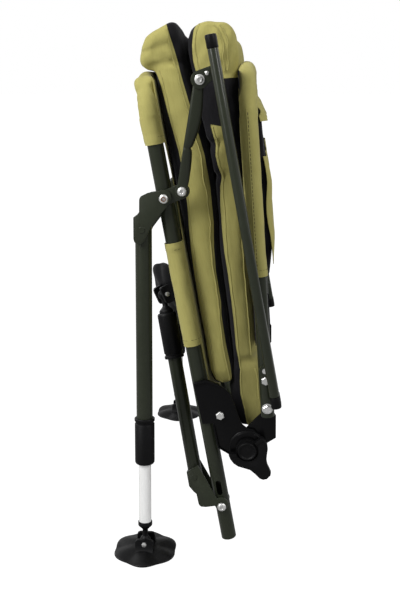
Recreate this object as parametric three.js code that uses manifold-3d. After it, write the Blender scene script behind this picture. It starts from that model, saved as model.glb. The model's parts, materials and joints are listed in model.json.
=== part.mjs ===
// A folding bank chair, folded flat and stood on end as an A-frame.
// Lengths are millimetres and angles degrees. The chair's own frame has x forward along the seat rails
// from their rear ends, y to the sitter's left and z up from the rail axis; the last group stands it up.
import * as THREE from "three";
import { mergeVertices } from "three/addons/utils/BufferGeometryUtils.js";
import Module from "manifold-3d";

const wasm = await Module();
wasm.setup();

// Fits
const gap = 0.3; // between faces that touch
const run_clearance = 0.5; // between faces that slide or turn on each other
const cut_overrun = 6;
const join_depth = 1; // how far the shapes of one solid reach into each other

// Seat frame
const rail_diameter = 22;
const rail_wall = 1.5;
const rail_length = 610;
const rail_spacing = 426; // between the axes of the two rails
const hoop_bend_radius = 46;
const hoop_projection = 63; // from the rails' front ends to the axis of the front bar
const hoop_spigot_length = 26;
const cross_tube_diameter = 19;
const cross_tube_place = 275;
const rail_slot_length = 24;
const rail_slot_width = 8;
const rail_slot_place = 86;

// Bolts
const bolt_diameter = 8;
const bolt_head_diameter = 12.8;
const bolt_head_height = 4;
const bolt_rim_height = 2;
const bolt_rim_width = 1.4;
const bolt_shank_depth = 2; // of a shank in its own head or nut
const washer_diameter = 15.2;
const washer_height = 1.4;
const nut_height = 5;
const small_bolt_diameter = 6;
const hex_head_width = 11;
const hex_head_height = 4.5;

// Front legs: pivot on the rails and lean outward
const front_pivot_setback = 90.6; // behind the rail's front end
const front_leg_diameter = 23;
const front_leg_wall = 2;
const front_leg_offset = 29.8; // from the pivot to the leg's axis
const front_collar_setback = 139.4; // the folded leg's collar ends this far above the rails' rear ends
const front_bracket_cover = 29; // of the tube
const front_leg_tube_start = 26.6;
const front_leg_splay = 5;

// Rear legs: hinge at the rails' rear ends, lean inward and fold along the rails
const rear_hinge_place = 59.8;
const rear_leg_diameter = 20.5;
const rear_leg_wall = 1;
const rear_leg_offset = 32.6;
const rear_leg_reach = 291;
const rear_leg_tube_start = 33;
const rear_bracket_cover = 22;
const rear_leg_lean = 11;
const rear_leg_rest = 1; // from parallel to the rail, folded
const rear_foot_rest = -74; // swivel of the folded leg's foot, its sole toward the seat
const rear_foot_twist = 35; // of the rivet's axis round the leg

// Telescopic ends, alike on all four legs
const collar_diameter = 29;
const collar_length = 68;
const collar_lip_length = 12;
const collar_lip_height = 1;
const collar_ring_length = 4;
const collar_ease = 2;
const collar_step = 0.4;
const collar_groove_depth = 0.6;
const inner_leg_diameter = 18;
const inner_leg_wall = 1.5;
const inner_leg_length = 225;
const plug_cup_diameter = 19.4;
const plug_cup_length = 11;
const plug_neck_diameter = 8;
const plug_reach = 27; // from the end of the inner leg to the rivet
const plug_spigot_length = 18;
const ball_diameter = 16;

// Mud feet
const foot_diameter = 94;
const foot_height = 17; // from the rivet to the sole
const foot_rim_height = 3;
const foot_hub_height = 8;
const foot_lobes = 6;
const foot_lobe_depth = 2.2;
const foot_fold_depth = 1.6;
const foot_yoke_gap = 0.6; // between the ball and each cheek of the yoke
const foot_yoke_width = 26;
const foot_yoke_wall = 4.6;
const foot_yoke_rise = 6.5; // above the rivet
const foot_yoke_flare = 4.4;
const foot_yoke_round = 3;
const rivet_diameter = 4.4;
const rivet_head_diameter = 7;
const rivet_head_height = 1.4;

// Leg brackets
const bracket_sheet = 2.5;
const front_bracket_air = 1.5; // beside the strut plate, for the lean of the leg
const rear_bracket_air = 3.2;
const front_eye_radius = 10.5;
const rear_eye_radius = 10;
const bracket_rivet_diameter = 9;
const bracket_rivet_rise = 1;

// Armrest linkage
const strut_base_lead = 5.6; // lower pivot of the strut, past the leg's pivot
const strut_base_height = 26;
const strut_run = 136.5; // from the lower pivot to the upper one, along the rails
const strut_top_height = 75.6;
const strut_plate_sheet = 2.5;
const strut_plate_radius = 10;
const strut_eye_radius = 9.5;
const strut_eye_sheet = 5;
const strut_width = 16;
const strut_waist_thickness = 12.5;
const arm_width = 28;
const arm_thickness = 13;
const arm_wall = 1.6;
const arm_rear_overhang = 31; // of the oval tube, past the arm pivot
const arm_front_overhang = 32.75; // past the strut's upper pivot
const arm_axis_height = 7.8; // above the arm pivot
const arm_rest_tilt = -0.7;
const arm_ear_sheet = 3;
const arm_ear_radius = 11.5;
const arm_ear_lead = 9;
const arm_bolt_depth = 6; // in the lug
const arm_lug_radius = 8;
const arm_cap_length = 17;
const arm_cap_wall = 0.6;
const arm_cap_spigot = 12;
const arm_cap_ease = 2;
const arm_cap_step = 1;

// Backrest, in a frame at the recline axis: x up the backrest, z to its rear
const recline_forward = 146.1;
const recline_height = 52;
const back_rest_angle = 5.6; // between backrest and rails, folded
const back_tube_diameter = 19;
const back_tube_wall = 1.5;
const back_tube_offset = 32.4; // behind the recline axis
const back_tube_start = 51;
const back_tube_top = 523;
const back_bend_radius = 58;
const arm_pivot_place = 122.9; // up the back tube
const back_bolt_place = 65.4;
const back_stud_place = 107.3;

// Recline hinge and its lever knob
const hinge_sheet = 3;
const seat_plate_length = 110; // forward of the recline axis
const seat_stud_forward = 55;
const seat_stud_height = 21.7;
const rosette_diameter = 48;
const rosette_height = 3;
const rosette_teeth = 24;
const rosette_tooth_depth = 1.6;
const hinge_boss_radius = 27;
const recline_bolt_diameter = 10;
const recline_head_diameter = 18;
const knob_reach = 52; // to the end of its tail
const knob_thickness = 9.5;
const knob_hub_diameter = 27;
const knob_hub_height = 10.5;
const knob_roof = 4; // over the end of the bolt
const knob_ring_width = 3;
const knob_ring_height = 1.4;

// Fabric
const sleeve_sheet = 2;
const rear_sleeve_lead = 51.9; // from the hinge plate to the sleeve
const rear_sleeve_setback = 62.4; // from the sleeve to the front leg's pivot
const front_sleeve_cover = 19; // of the rails
const sling_sheet = 2;
const sling_start = 188;
const back_sleeve_start = 254.6;
const back_sling_start = 150;
const sling_edge = 1; // inside the tubes' axes
const sling_tail_air = 4; // beside the hinge plates

// Seat cushion
const seat_cushion_width = 424;
const seat_cushion_start = 262;
const seat_cushion_overhang = 67; // past the axis of the front bar
const seat_cushion_underside = 14;
const seat_cushion_top = 55;
const seat_cushion_crown = 7;
const seat_roll_length = 52; // hangs over the front bar
const seat_roll_drop = 15;
const seat_rear_thickness = 26;

// Back cushion, with its lumbar roll and head pillow
const back_cushion_width = 424;
const back_cushion_start = 28;
const back_cushion_reach = 591;
const back_cushion_rear = 20.2;
const back_cushion_front = 12; // in front of the recline axis
const back_cushion_crown = 6;
const pillow_front = 38;
const pillow_start = 400;
const lumbar_end = 121;
const channel_depth = 5;
const channel_half_length = 9;
const channel_place_shares = [0.655, 0.728]; // of the back cushion's reach
const channel_waist = 2;
const pad_pull = 1.5; // how far a pad's sides draw in between its seams

// Rear pocket
const pocket_width = 404;
const pocket_start = 228;
const pocket_reach = 492;
const pocket_depth = 27;
const pocket_sag_share = 0.23;
const pocket_crown = 2;
const pocket_pull = 1;

// Stance of the folded chair
const rail_lean = 10.1; // from upright
const facets = { tube: 12, fine: 16, small: 8, foot: 24 };

// Values that follow
const degrees = THREE.MathUtils.degToRad;
const rail_half = rail_spacing / 2;
const rail_radius = rail_diameter / 2;
const back_tube_radius = back_tube_diameter / 2;
const hoop_reach = rail_length + hoop_projection; // each place is from the rails' rear ends
const front_pivot_place = rail_length - front_pivot_setback;
const strut_base_forward = front_pivot_place + strut_base_lead;
const strut_top_forward = strut_base_forward + strut_run;
const front_leg_reach = front_pivot_place - front_collar_setback; // from the pivot to the collar's free end
const rear_sleeve_start = recline_forward + seat_plate_length + rear_sleeve_lead;
const rear_sleeve_end = front_pivot_place - rear_sleeve_setback;
const front_sleeve_start = rail_length - front_sleeve_cover;
const seat_cushion_reach = hoop_reach + seat_cushion_overhang;
const arm_pivot_forward = recline_forward + arm_pivot_place * Math.cos(degrees(back_rest_angle))
  - back_tube_offset * Math.sin(degrees(back_rest_angle));
const arm_front_reach = strut_top_forward - arm_pivot_forward + arm_front_overhang; // from the arm's pivot
const roundness = Math.cos(Math.PI / facets.small); // flats of a faceted hole, as a share of its corners
const clearance_bore = (diameter) => (diameter / 2 + gap) / roundness;
const bolt_hole = clearance_bore(bolt_diameter);
const strut_plate_inner = rail_radius + gap; // each outboard distance is from the rail's axis
const strut_plate_outer = strut_plate_inner + strut_plate_sheet;
const front_cheek_inner = strut_plate_outer + front_bracket_air;
const rear_cheek_inner = rail_radius + rear_bracket_air;
const strut_base_inner = strut_plate_outer + gap;
const seat_plate_inner = rail_radius + gap;
const seat_plate_outer = seat_plate_inner + hinge_sheet;
const back_plate_outer = seat_plate_inner - gap;
const back_plate_inner = back_plate_outer - hinge_sheet;
const back_tube_side = back_plate_outer + gap + back_tube_radius;
const arm_inner = back_tube_side + back_tube_radius + gap + sleeve_sheet + 2 * run_clearance;
const arm_side = arm_inner + arm_width / 2;
const lug_inner = back_tube_side + back_tube_radius + run_clearance;
const strut_top_outer = arm_inner - gap;
const strut_top_inner = strut_top_outer - strut_eye_sheet;
const strut_crank = strut_top_inner - strut_base_inner;
const rosette_outer = seat_plate_outer + rosette_height;
const knob_inner = rosette_outer + gap;
const strut_length = Math.hypot(strut_top_forward - strut_base_forward, strut_top_height - strut_base_height);
const strut_rest = Math.atan2(strut_top_height - strut_base_height, strut_top_forward - strut_base_forward);

// Materials
const finish = (color, roughness, metalness) => () =>
  new THREE.MeshStandardMaterial({ color, roughness, metalness });
const olive_paint = finish(0x3b4033, 0.45, 0.3);
const black_steel = finish(0x232425, 0.5, 0.3);
const black_plastic = finish(0x262627, 0.6, 0);
const bright_zinc = finish(0xc9cbc9, 0.3, 1);
const bright_steel = finish(0xe6e6e4, 0.25, 1);
const olive_fabric = finish(0x9a955a, 0.85, 0);

// A closed geometry as a solid, with its faces turned outward.
function solid(geometry) {
  const bare = geometry.index ? geometry.clone() : geometry;
  bare.deleteAttribute("normal");
  bare.deleteAttribute("uv");
  const merged = mergeVertices(bare, 1e-3);
  const triVerts = new Uint32Array(merged.index.array);
  const vertProperties = new Float32Array(merged.attributes.position.array);
  const make = () => new wasm.Manifold(new wasm.Mesh({ numProp: 3, vertProperties, triVerts }));
  const first = make();
  if (first.volume() >= 0) return first;
  for (let i = 0; i < triVerts.length; i += 3) {
    [triVerts[i + 1], triVerts[i + 2]] = [triVerts[i + 2], triVerts[i + 1]];
  }
  return make();
}

const join = (...solids) => solids.reduce((all, one) => all.add(one));
const cut = (body, ...tools) => tools.reduce((left, tool) => left.subtract(tool), body);

function place(parent, name, body, material) {
  const data = body.getMesh();
  const points = new Float32Array(data.numVert * 3);
  for (let i = 0; i < data.numVert; i++) {
    points.set(data.vertProperties.subarray(i * data.numProp, i * data.numProp + 3), i * 3);
  }
  const geometry = new THREE.BufferGeometry()
    .setAttribute("position", new THREE.BufferAttribute(points, 3))
    .setIndex(new THREE.BufferAttribute(data.triVerts, 1));
  const mesh = new THREE.Mesh(geometry, material());
  mesh.name = name;
  parent.add(mesh);
  return mesh;
}

// A group whose place is a joint's axis; turn is in degrees about y.
function frame(parent, name, x, y, z, turn = 0) {
  const group = new THREE.Group();
  group.name = name;
  group.position.set(x, y, z);
  group.rotation.y = degrees(turn);
  parent.add(group);
  return group;
}

// A cylinder along y from one side to the other.
function pin(x, z, radius, from, to, sides = facets.small) {
  const low = Math.min(from, to);
  const high = Math.max(from, to);
  const geometry = new THREE.CylinderGeometry(radius, radius, high - low, sides);
  return solid(geometry.translate(x, (low + high) / 2, z));
}

// A profile of [radius, distance] points turned about x.
function turned(profile, sides = facets.fine) {
  const points = profile.map(([radius, along]) => new THREE.Vector2(radius, along));
  const geometry = new THREE.LatheGeometry(points, sides);
  return solid(geometry.rotateZ(-Math.PI / 2));
}

function pipe(radius, bore, from, to, sides = facets.tube) {
  return turned([[bore, from], [radius, from], [radius, to], [bore, to], [bore, from]], sides);
}

// A flat outline in x and z, as sheet from one y to another.
function sheet(outline, from, to) {
  const low = Math.min(from, to);
  const high = Math.max(from, to);
  const geometry = new THREE.ExtrudeGeometry(outline, {
    depth: high - low,
    bevelEnabled: false,
    curveSegments: facets.small,
  });
  return solid(geometry.rotateX(Math.PI / 2).translate(0, high, 0));
}

// Points given as shares of two sizes, from a place.
const sharesOf = (shares, across, up = across, x = 0, z = 0) =>
  shares.map(([along, rise]) => [x + along * across, z + rise * up]);

const outlineOf = (points) => new THREE.Shape(points.map(([x, y]) => new THREE.Vector2(x, y)));

// The points of an arc about a centre, from one angle to another in degrees.
function arc(x, z, radius, from, to, steps) {
  return Array.from({ length: steps + 1 }, (_, i) => {
    const angle = degrees(from + ((to - from) * i) / steps);
    return [x + radius * Math.cos(angle), z + radius * Math.sin(angle)];
  });
}

// The outline of a strap round two eyes.
function strap(x0, z0, r0, x1, z1, r1, steps = 6) {
  const heading = THREE.MathUtils.radToDeg(Math.atan2(z1 - z0, x1 - x0));
  return outlineOf([
    ...arc(x0, z0, r0, heading + 90, heading + 270, steps),
    ...arc(x1, z1, r1, heading - 90, heading + 90, steps),
  ]);
}

// A skin through rings of points, closed by a fan at each end.
function loft(rings) {
  const count = rings[0].length;
  const middle = (ring) => {
    const sum = ring.reduce((all, p) => all.map((v, i) => v + p[i]), [0, 0, 0]);
    return sum.map((v) => v / count);
  };
  const points = [...rings.flat(), middle(rings[0]), middle(rings[rings.length - 1])];
  const faces = [];
  const first = points.length - 2;
  for (let j = 0; j < count; j++) {
    const k = (j + 1) % count;
    for (let i = 0; i + 1 < rings.length; i++) {
      const [a, b, c, d] = [i * count + j, i * count + k, (i + 1) * count + k, (i + 1) * count + j];
      faces.push(a, b, c, a, c, d);
    }
    const last = (rings.length - 1) * count;
    faces.push(first, k, j, first + 1, last + j, last + k);
  }
  const geometry = new THREE.BufferGeometry();
  geometry.setAttribute("position", new THREE.Float32BufferAttribute(points.flat(), 3));
  geometry.setIndex(faces);
  return solid(geometry);
}

// A round bar bent in the x-y plane through stations of [x, y, heading, radius].
function bent(stations, z, sides = facets.tube) {
  return loft(stations.map(([x, y, heading, radius]) => {
    const across = [-Math.sin(degrees(heading)), Math.cos(degrees(heading))];
    return Array.from({ length: sides }, (_, i) => {
      const angle = (2 * Math.PI * i) / sides;
      const out = radius * Math.cos(angle);
      return [x + across[0] * out, y + across[1] * out, z + radius * Math.sin(angle)];
    });
  }));
}

// Stations of a U that starts on the left, runs forward, crosses at the top and comes back on the right.
function hoopStations(start, top, half, bend, radius, arc_steps = 5) {
  const corner = (side, i) => {
    const turn = (90 * i) / arc_steps;
    const x = top - bend + bend * Math.sin(degrees(turn));
    const y = side * (half - bend + bend * Math.cos(degrees(turn)));
    return [x, y, side > 0 ? -turn : turn - 180, radius];
  };
  const steps = Array.from({ length: arc_steps + 1 }, (_, i) => i);
  return [
    [start, half, 0, radius],
    ...steps.map((i) => corner(1, i)),
    ...steps.reverse().map((i) => corner(-1, i)),
    [start, -half, -180, radius],
  ];
}

// Sides of the chair: the near side is the sitter's left
const sides = [["left", 1], ["right", -1]];

// Rails, with the bolt holes and the slot in the outer wall
function rail(side) {
  const y = side * rail_half;
  const bore = rail_radius - rail_wall;
  const body = pipe(rail_radius, bore, 0, rail_length).translate([0, y, 0]);
  const reach = rail_radius + cut_overrun;
  const hole = (x) => pin(x, 0, bolt_hole, y - reach, y + reach);
  const half = (rail_slot_length - rail_slot_width) / 2;
  const slot_outline = strap(
    rail_slot_place - half, 0, rail_slot_width / 2,
    rail_slot_place + half, 0, rail_slot_width / 2, 4,
  );
  const slot = sheet(slot_outline, y + side * rail_wall, y + side * reach);
  return cut(body, hole(front_pivot_place), hole(rear_hinge_place), slot);
}

// The bent front bar, with spigots that fit the rails' bores
function frontHoop() {
  const spigot_radius = rail_radius - rail_wall - gap;
  const stations = hoopStations(rail_length + gap, hoop_reach, rail_half, hoop_bend_radius, rail_radius);
  const body = bent(stations, 0);
  const spigot = (side) =>
    pipe(spigot_radius, 0, rail_length - hoop_spigot_length, rail_length + join_depth)
      .translate([0, side * rail_half, 0]);
  const bore = bent(hoopStations(
    rail_length - hoop_spigot_length - cut_overrun, hoop_reach, rail_half, hoop_bend_radius,
    spigot_radius - rail_wall,
  ), 0, facets.small);
  return cut(join(body, spigot(1), spigot(-1)), bore);
}

function crossTube() {
  const radius = cross_tube_diameter / 2;
  const half = rail_half - rail_radius - gap;
  return pipe(radius, radius - rail_wall, -half, half)
    .rotate([0, 0, 90])
    .translate([cross_tube_place, 0, 0]);
}

function strutPlate(side) {
  const y = side * rail_half;
  const from = y + side * strut_plate_inner;
  const to = y + side * strut_plate_outer;
  const body = sheet(
    strap(front_pivot_place, 0, strut_plate_radius, strut_base_forward, strut_base_height, strut_plate_radius),
    from, to,
  );
  const hole = (x, z) => pin(x, z, bolt_hole, from - side * cut_overrun, to + side * cut_overrun);
  return cut(body, hole(front_pivot_place, 0), hole(strut_base_forward, strut_base_height));
}

// A button-head bolt with its nut, from the outer face to the inner one
function bolt(x, z, side, outer, inner, head = bolt_head_diameter) {
  const y = side * rail_half;
  const top = outer + bolt_head_height;
  const crown = turned([
    [0, outer], [head / 2, outer], [head / 2, outer + bolt_head_height / 2],
    [head / 2 * Math.SQRT1_2, top], [0, top],
  ], facets.tube);
  const nut = pin(0, 0, head / 2, inner, inner - nut_height, 6);
  const shank = pin(0, 0, bolt_diameter / 2, inner - nut_height / 2, outer + bolt_head_height / 2);
  const body = join(crown.rotate([0, 0, 90]), shank, nut);
  const facing = side > 0 ? body : body.rotate([180, 0, 0]);
  return facing.translate([x, y, z]);
}

// A leg bracket: two cheeks beside the rail, joined to the leg's tube by a web and a rivet
function legBracket(outline, eye_radius, cheek_inner, web, rivet) {
  const cheek_outer = cheek_inner + bracket_sheet;
  const cheeks = [1, -1].map((side) => sheet(outline, side * cheek_inner, side * cheek_outer));
  const web_block = new THREE.BoxGeometry(web.length, 2 * cheek_outer, bracket_sheet);
  const back = solid(web_block.translate(web.start + web.length / 2, 0, web.height + bracket_sheet / 2));
  const reach = cheek_outer + bracket_rivet_rise;
  const cross = pin(rivet[0], rivet[1], bracket_rivet_diameter / 2, -reach, reach);
  return join(...cheeks, back, cross);
}

const front_heel = front_leg_diameter * 0.326; // the bracket's rounded end over the tube
const front_bracket_outline = outlineOf([
  ...arc(0, 0, front_eye_radius, 215, 145, 5),
  [-front_eye_radius * 0.6, front_leg_offset * 0.72],
  ...arc(front_eye_radius * 0.4, front_leg_offset * 0.846, front_eye_radius * 0.76, 140, 95, 3),
  [front_leg_tube_start * 0.737, front_leg_offset * 1.12],
  [front_leg_tube_start * 0.85, front_leg_offset * 1.2],
  [front_leg_tube_start, front_leg_offset + front_leg_diameter / 2],
  [front_leg_tube_start + front_bracket_cover, front_leg_offset + front_leg_diameter / 2],
  ...arc(
    front_leg_tube_start + front_bracket_cover, front_leg_offset + front_leg_diameter / 2 - front_heel,
    front_heel, 60, -60, 5,
  ),
  [front_leg_tube_start + front_bracket_cover * 0.517, front_leg_offset * 0.62],
  ...arc(0, 0, front_eye_radius, -40, -145, 6),
]);

const rear_bracket_outline = outlineOf([
  ...arc(0, 0, rear_eye_radius, 215, 100, 5),
  [-rear_eye_radius * 0.15, rear_leg_offset * 0.72],
  ...arc(rear_eye_radius * 0.6, rear_leg_offset * 0.806, rear_eye_radius * 0.7, 150, 90, 3),
  [rear_leg_tube_start * 0.606, rear_leg_offset * 1.05],
  [rear_leg_tube_start * 0.727, rear_leg_offset * 1.16],
  [rear_leg_tube_start, rear_leg_offset + rear_leg_diameter / 2],
  [rear_leg_tube_start + rear_bracket_cover, rear_leg_offset + rear_leg_diameter / 2],
  [rear_leg_tube_start + rear_bracket_cover * 1.32, rear_leg_offset - rear_leg_diameter * 0.4],
  ...arc(0, 0, rear_eye_radius, 30, -145, 7),
]);

function frontLegTube(side) {
  const radius = front_leg_diameter / 2;
  const end = front_leg_reach - collar_lip_length - gap;
  const tube = pipe(radius, radius - front_leg_wall, front_leg_tube_start, end)
    .translate([0, 0, front_leg_offset]);
  const web = {
    start: front_leg_tube_start,
    length: front_bracket_cover + join_depth,
    height: front_leg_offset + radius - bracket_sheet,
  };
  const bracket = legBracket(
    front_bracket_outline, front_eye_radius, front_cheek_inner, web,
    [front_leg_tube_start + front_bracket_cover * 0.586, front_leg_offset],
  );
  const plugged = front_leg_tube_start + front_bracket_cover * 0.83;
  const bore = pipe(radius - front_leg_wall, 0, plugged, end)
    .translate([0, 0, front_leg_offset]);
  const reach = front_cheek_inner + cut_overrun;
  const eye = pin(0, 0, bolt_hole, -reach, reach).rotate([0, 0, -side * front_leg_splay]);
  return cut(join(tube, bracket), bore, eye);
}

function rearLegTube(side) {
  const radius = rear_leg_diameter / 2;
  const end = rear_leg_reach - collar_lip_length - gap;
  const tube = pipe(radius, radius - rear_leg_wall, rear_leg_tube_start, end)
    .translate([0, 0, rear_leg_offset]);
  const web = {
    start: rear_leg_tube_start,
    length: rear_bracket_cover,
    height: rear_leg_offset + radius - bracket_sheet,
  };
  const bracket = legBracket(
    rear_bracket_outline, rear_eye_radius, rear_cheek_inner, web,
    [rear_leg_tube_start + rear_bracket_cover * 0.545, rear_leg_offset],
  );
  const plugged = rear_leg_tube_start + rear_bracket_cover * 0.864;
  const bore = pipe(radius - rear_leg_wall, 0, plugged, end)
    .translate([0, 0, rear_leg_offset]);
  const reach = rear_cheek_inner + cut_overrun;
  const eye = pin(0, 0, bolt_hole, -reach, reach).rotate([0, 0, -side * rear_leg_lean]);
  return cut(join(tube, bracket), bore, eye);
}

// The lock collar, from its free end at 0 back over the outer tube
function lockCollar(tube_diameter) {
  const radius = collar_diameter / 2;
  const lip = radius - collar_lip_height;
  const wide_bore = tube_diameter / 2 + gap;
  const bore = inner_leg_diameter / 2 + gap;
  const [body, groove] = [radius - collar_step, lip - collar_groove_depth];
  const [low, high] = [collar_length - 2 * collar_ring_length, collar_length - collar_ring_length];
  return turned([
    [bore, 0], [lip - collar_lip_height, 0], [body, collar_ease], [body, low],
    [groove, low + collar_ease / 2], [groove, high - collar_ease / 2],
    [radius, high], [radius, collar_length], [wide_bore, collar_length],
    [wide_bore, collar_lip_length], [bore, collar_lip_length], [bore, 0],
  ].map(([r, d]) => [r, -d]));
}

function innerLeg() {
  const radius = inner_leg_diameter / 2;
  return pipe(radius, radius - inner_leg_wall, -inner_leg_length, 0);
}

// Spigot, cup, neck and ball, with a cross hole for the foot's rivet
function ballPlug(level) {
  const cup = plug_cup_diameter / 2;
  const neck = plug_neck_diameter / 2;
  const spigot = inner_leg_diameter / 2 - inner_leg_wall - gap;
  const ball = ball_diameter / 2;
  const from_rivet = Math.sqrt(ball * ball - neck * neck);
  const ball_points = [140, 115, 90, 65, 40, 20].map((angle) => [
    ball * Math.sin(degrees(angle)),
    plug_reach - ball * Math.cos(degrees(180 - angle)),
  ]);
  const body = turned([
    [0, -plug_spigot_length], [spigot, -plug_spigot_length], [spigot, gap], [cup, gap],
    [cup, gap + plug_cup_length * 0.145], [cup * 0.86, plug_cup_length * 0.45], [neck, plug_cup_length],
    [neck, plug_reach - from_rivet],
    ...ball_points, [0, plug_reach + ball],
  ], facets.tube);
  const cross_hole = pin(0, 0, clearance_bore(rivet_diameter), -ball - cut_overrun, ball + cut_overrun)
    .rotate([0, 0, -level])
    .translate([plug_reach, 0, 0]);
  return cut(body, cross_hole);
}

// A lobed dome with a yoke for the ball; the rivet is at the origin and the sole faces +x
function mudFoot() {
  const outer = foot_diameter / 2;
  const count = facets.foot;
  const ball = ball_diameter / 2;
  const ring = (share, height, lobed, fold) => Array.from({ length: count }, (_, i) => {
    const angle = (2 * Math.PI * i) / count;
    const wave = (1 + Math.cos(foot_lobes * angle)) / 2;
    const radius = outer * share - lobed * foot_lobe_depth * (1 - wave);
    return [foot_height - height - fold * wave, radius * Math.cos(angle), radius * Math.sin(angle)];
  });
  const dome = loft([
    ring(0.2, foot_hub_height, 0, 0),
    ring(0.42, foot_hub_height, 0.2, 0),
    ring(0.62, foot_hub_height * 0.9, 0.4, foot_fold_depth * 0.8),
    ring(0.84, foot_rim_height * 1.53, 0.8, foot_fold_depth),
    ring(0.97, foot_rim_height, 1, foot_fold_depth * 0.25),
    ring(1, foot_rim_height * 0.5, 1, 0),
    ring(0.98, 0, 1, 0),
  ]);
  const inner = ball + foot_yoke_gap;
  const wall = inner + foot_yoke_wall;
  const base = foot_height - foot_rim_height;
  const half = foot_yoke_width / 2;
  const cheek = (side) => {
    const section = (z, shrink) => [
      [-foot_yoke_rise + shrink, inner], [-foot_yoke_rise + shrink, wall - shrink / 2],
      [0, wall + foot_yoke_flare * 0.36], [base * 0.5, wall + foot_yoke_flare], [base, outer * 0.7], [base, inner],
    ].map(([x, y]) => [x, side * y, z]);
    const waist = half * 0.62;
    return loft([
      section(-half, foot_yoke_round), section(-waist, 0), section(waist, 0), section(half, foot_yoke_round),
    ]);
  };
  const reach = wall + rivet_head_height * 0.86;
  const rivet = join(
    pin(0, 0, rivet_diameter / 2, -reach, reach),
    pin(0, 0, rivet_head_diameter / 2, wall - join_depth, reach + rivet_head_height),
    pin(0, 0, rivet_head_diameter / 2, -reach - rivet_head_height, join_depth - wall),
  );
  return join(dome, cheek(1), cheek(-1), rivet);
}

// Recline hinge; the plates' points are shares of their length and of the axis's height above the rail
const seat_plate_shares = [
  [0.41, -0.115], [0.973, -0.154], [1, 0.212], [0.909, 0.538], [0.855, 0.654], [0.77, 0.8], [0.7, 0.827],
  [0.345, 0.942], [0.236, 1.269],
];
const seat_plate_heel_shares = [[-0.058, 0.465], [0.047, 0.192], [0.378, 0.173], [0.4, 0.2]];
const seat_flange_shares = [
  [0.991, -0.142], [1.013, 0.212], [0.922, 0.558], [0.9, 0.531], [0.985, 0.204], [0.964, -0.135],
];

function seatHingePlate(side) {
  const y = side * rail_half;
  const dx = recline_forward;
  const dz = recline_height;
  const onPlate = (shares) => sharesOf(shares, seat_plate_length, recline_height, dx);
  const outline = outlineOf([
    ...onPlate(seat_plate_shares), ...arc(dx, dz, hinge_boss_radius, 40, 250, 10),
    ...onPlate(seat_plate_heel_shares),
  ]);
  const from = y + side * seat_plate_inner;
  const to = y + side * seat_plate_outer;
  const plate = sheet(outline, from, to);
  const flange = sheet(outlineOf(onPlate(seat_flange_shares)), from, to + side * hinge_sheet);
  const tooth = (i) => {
    const angle = (360 * i) / (2 * rosette_teeth);
    return arc(0, 0, rosette_diameter / 2 - (i % 2) * rosette_tooth_depth, angle, angle, 1)[0];
  };
  const teeth = Array.from({ length: 2 * rosette_teeth }, (_, i) => tooth(i));
  const rosette = sheet(outlineOf(teeth), to - side * join_depth, y + side * rosette_outer).translate([dx, 0, dz]);
  const stud = join(
    pin(dx + seat_stud_forward, seat_stud_height, small_bolt_diameter / 2, from, to + side * bolt_shank_depth),
    pin(
      dx + seat_stud_forward, seat_stud_height, hex_head_width / 2,
      to - side * join_depth, to + side * hex_head_height, 6,
    ),
  );
  const eye = pin(
    dx, dz, clearance_bore(recline_bolt_diameter),
    from - side * cut_overrun, y + side * (rosette_outer + cut_overrun),
  );
  return cut(join(plate, flange, rosette, stud), eye);
}

// In the backrest's frame: a boss at the axis and a tail bolted to the inside of the back tube
function backHingePlate(side) {
  const y = side * rail_half;
  const tail = back_tube_radius;
  const outline = outlineOf([
    ...arc(0, 0, hinge_boss_radius * 0.963, 85, 320, 11),
    [back_tube_start * 0.569, 0],
    [back_tube_start, back_tube_offset - tail],
    [back_stud_place, back_tube_offset - tail],
    ...arc(back_stud_place, back_tube_offset, tail, -90, 90, 6).slice(1),
    [back_tube_start * 0.96, back_tube_offset + tail],
    [back_tube_start * 0.9, back_tube_offset + tail * 1.21],
    [back_tube_start * 0.225, back_tube_offset + tail],
  ]);
  const from = y + side * back_plate_inner;
  const to = y + side * back_plate_outer;
  const plate = sheet(outline, from, to);
  const beyond = y + side * (back_tube_side + back_tube_radius);
  const stud = join(
    pin(back_stud_place, back_tube_offset, small_bolt_diameter / 2, from, beyond + side * bolt_shank_depth),
    pin(
      back_stud_place, back_tube_offset, hex_head_width / 2,
      beyond + side * gap, beyond + side * (gap + hex_head_height), 6,
    ),
  );
  const hole = (x, z, radius) =>
    pin(x, z, radius, from - side * cut_overrun, to + side * cut_overrun);
  return cut(
    join(plate, stud),
    hole(0, 0, clearance_bore(recline_bolt_diameter)),
    hole(back_bolt_place, back_tube_offset, bolt_hole),
  );
}

function reclineBolt(side) {
  const y = side * rail_half;
  const inner = y + side * (back_plate_inner - gap);
  const end = y + side * (knob_inner + knob_hub_height - knob_roof - gap);
  return join(
    pin(0, 0, recline_bolt_diameter / 2, inner - side * bolt_shank_depth, end),
    pin(0, 0, recline_head_diameter / 2, inner, inner - side * bolt_head_height, 6),
  );
}

// A crescent with two horns and a tail, and a raised hub, blind over the end of the bolt
const knob_outline_shares = [
  [-0.02, -0.52], [-0.175, -0.508], [-0.323, -0.433], [-0.429, -0.325], [-0.515, -0.144], [-0.58, -0.015],
  [-0.72, 0.102], [-0.87, 0.204], [-0.925, 0.294], [-0.915, 0.406], [-0.823, 0.52], [-0.75, 0.544],
  [-0.64, 0.52], [-0.513, 0.483], [-0.36, 0.479], [-0.185, 0.521], [-0.04, 0.565], [0.11, 0.571],
  [0.22, 0.529], [0.32, 0.46],
];

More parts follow.
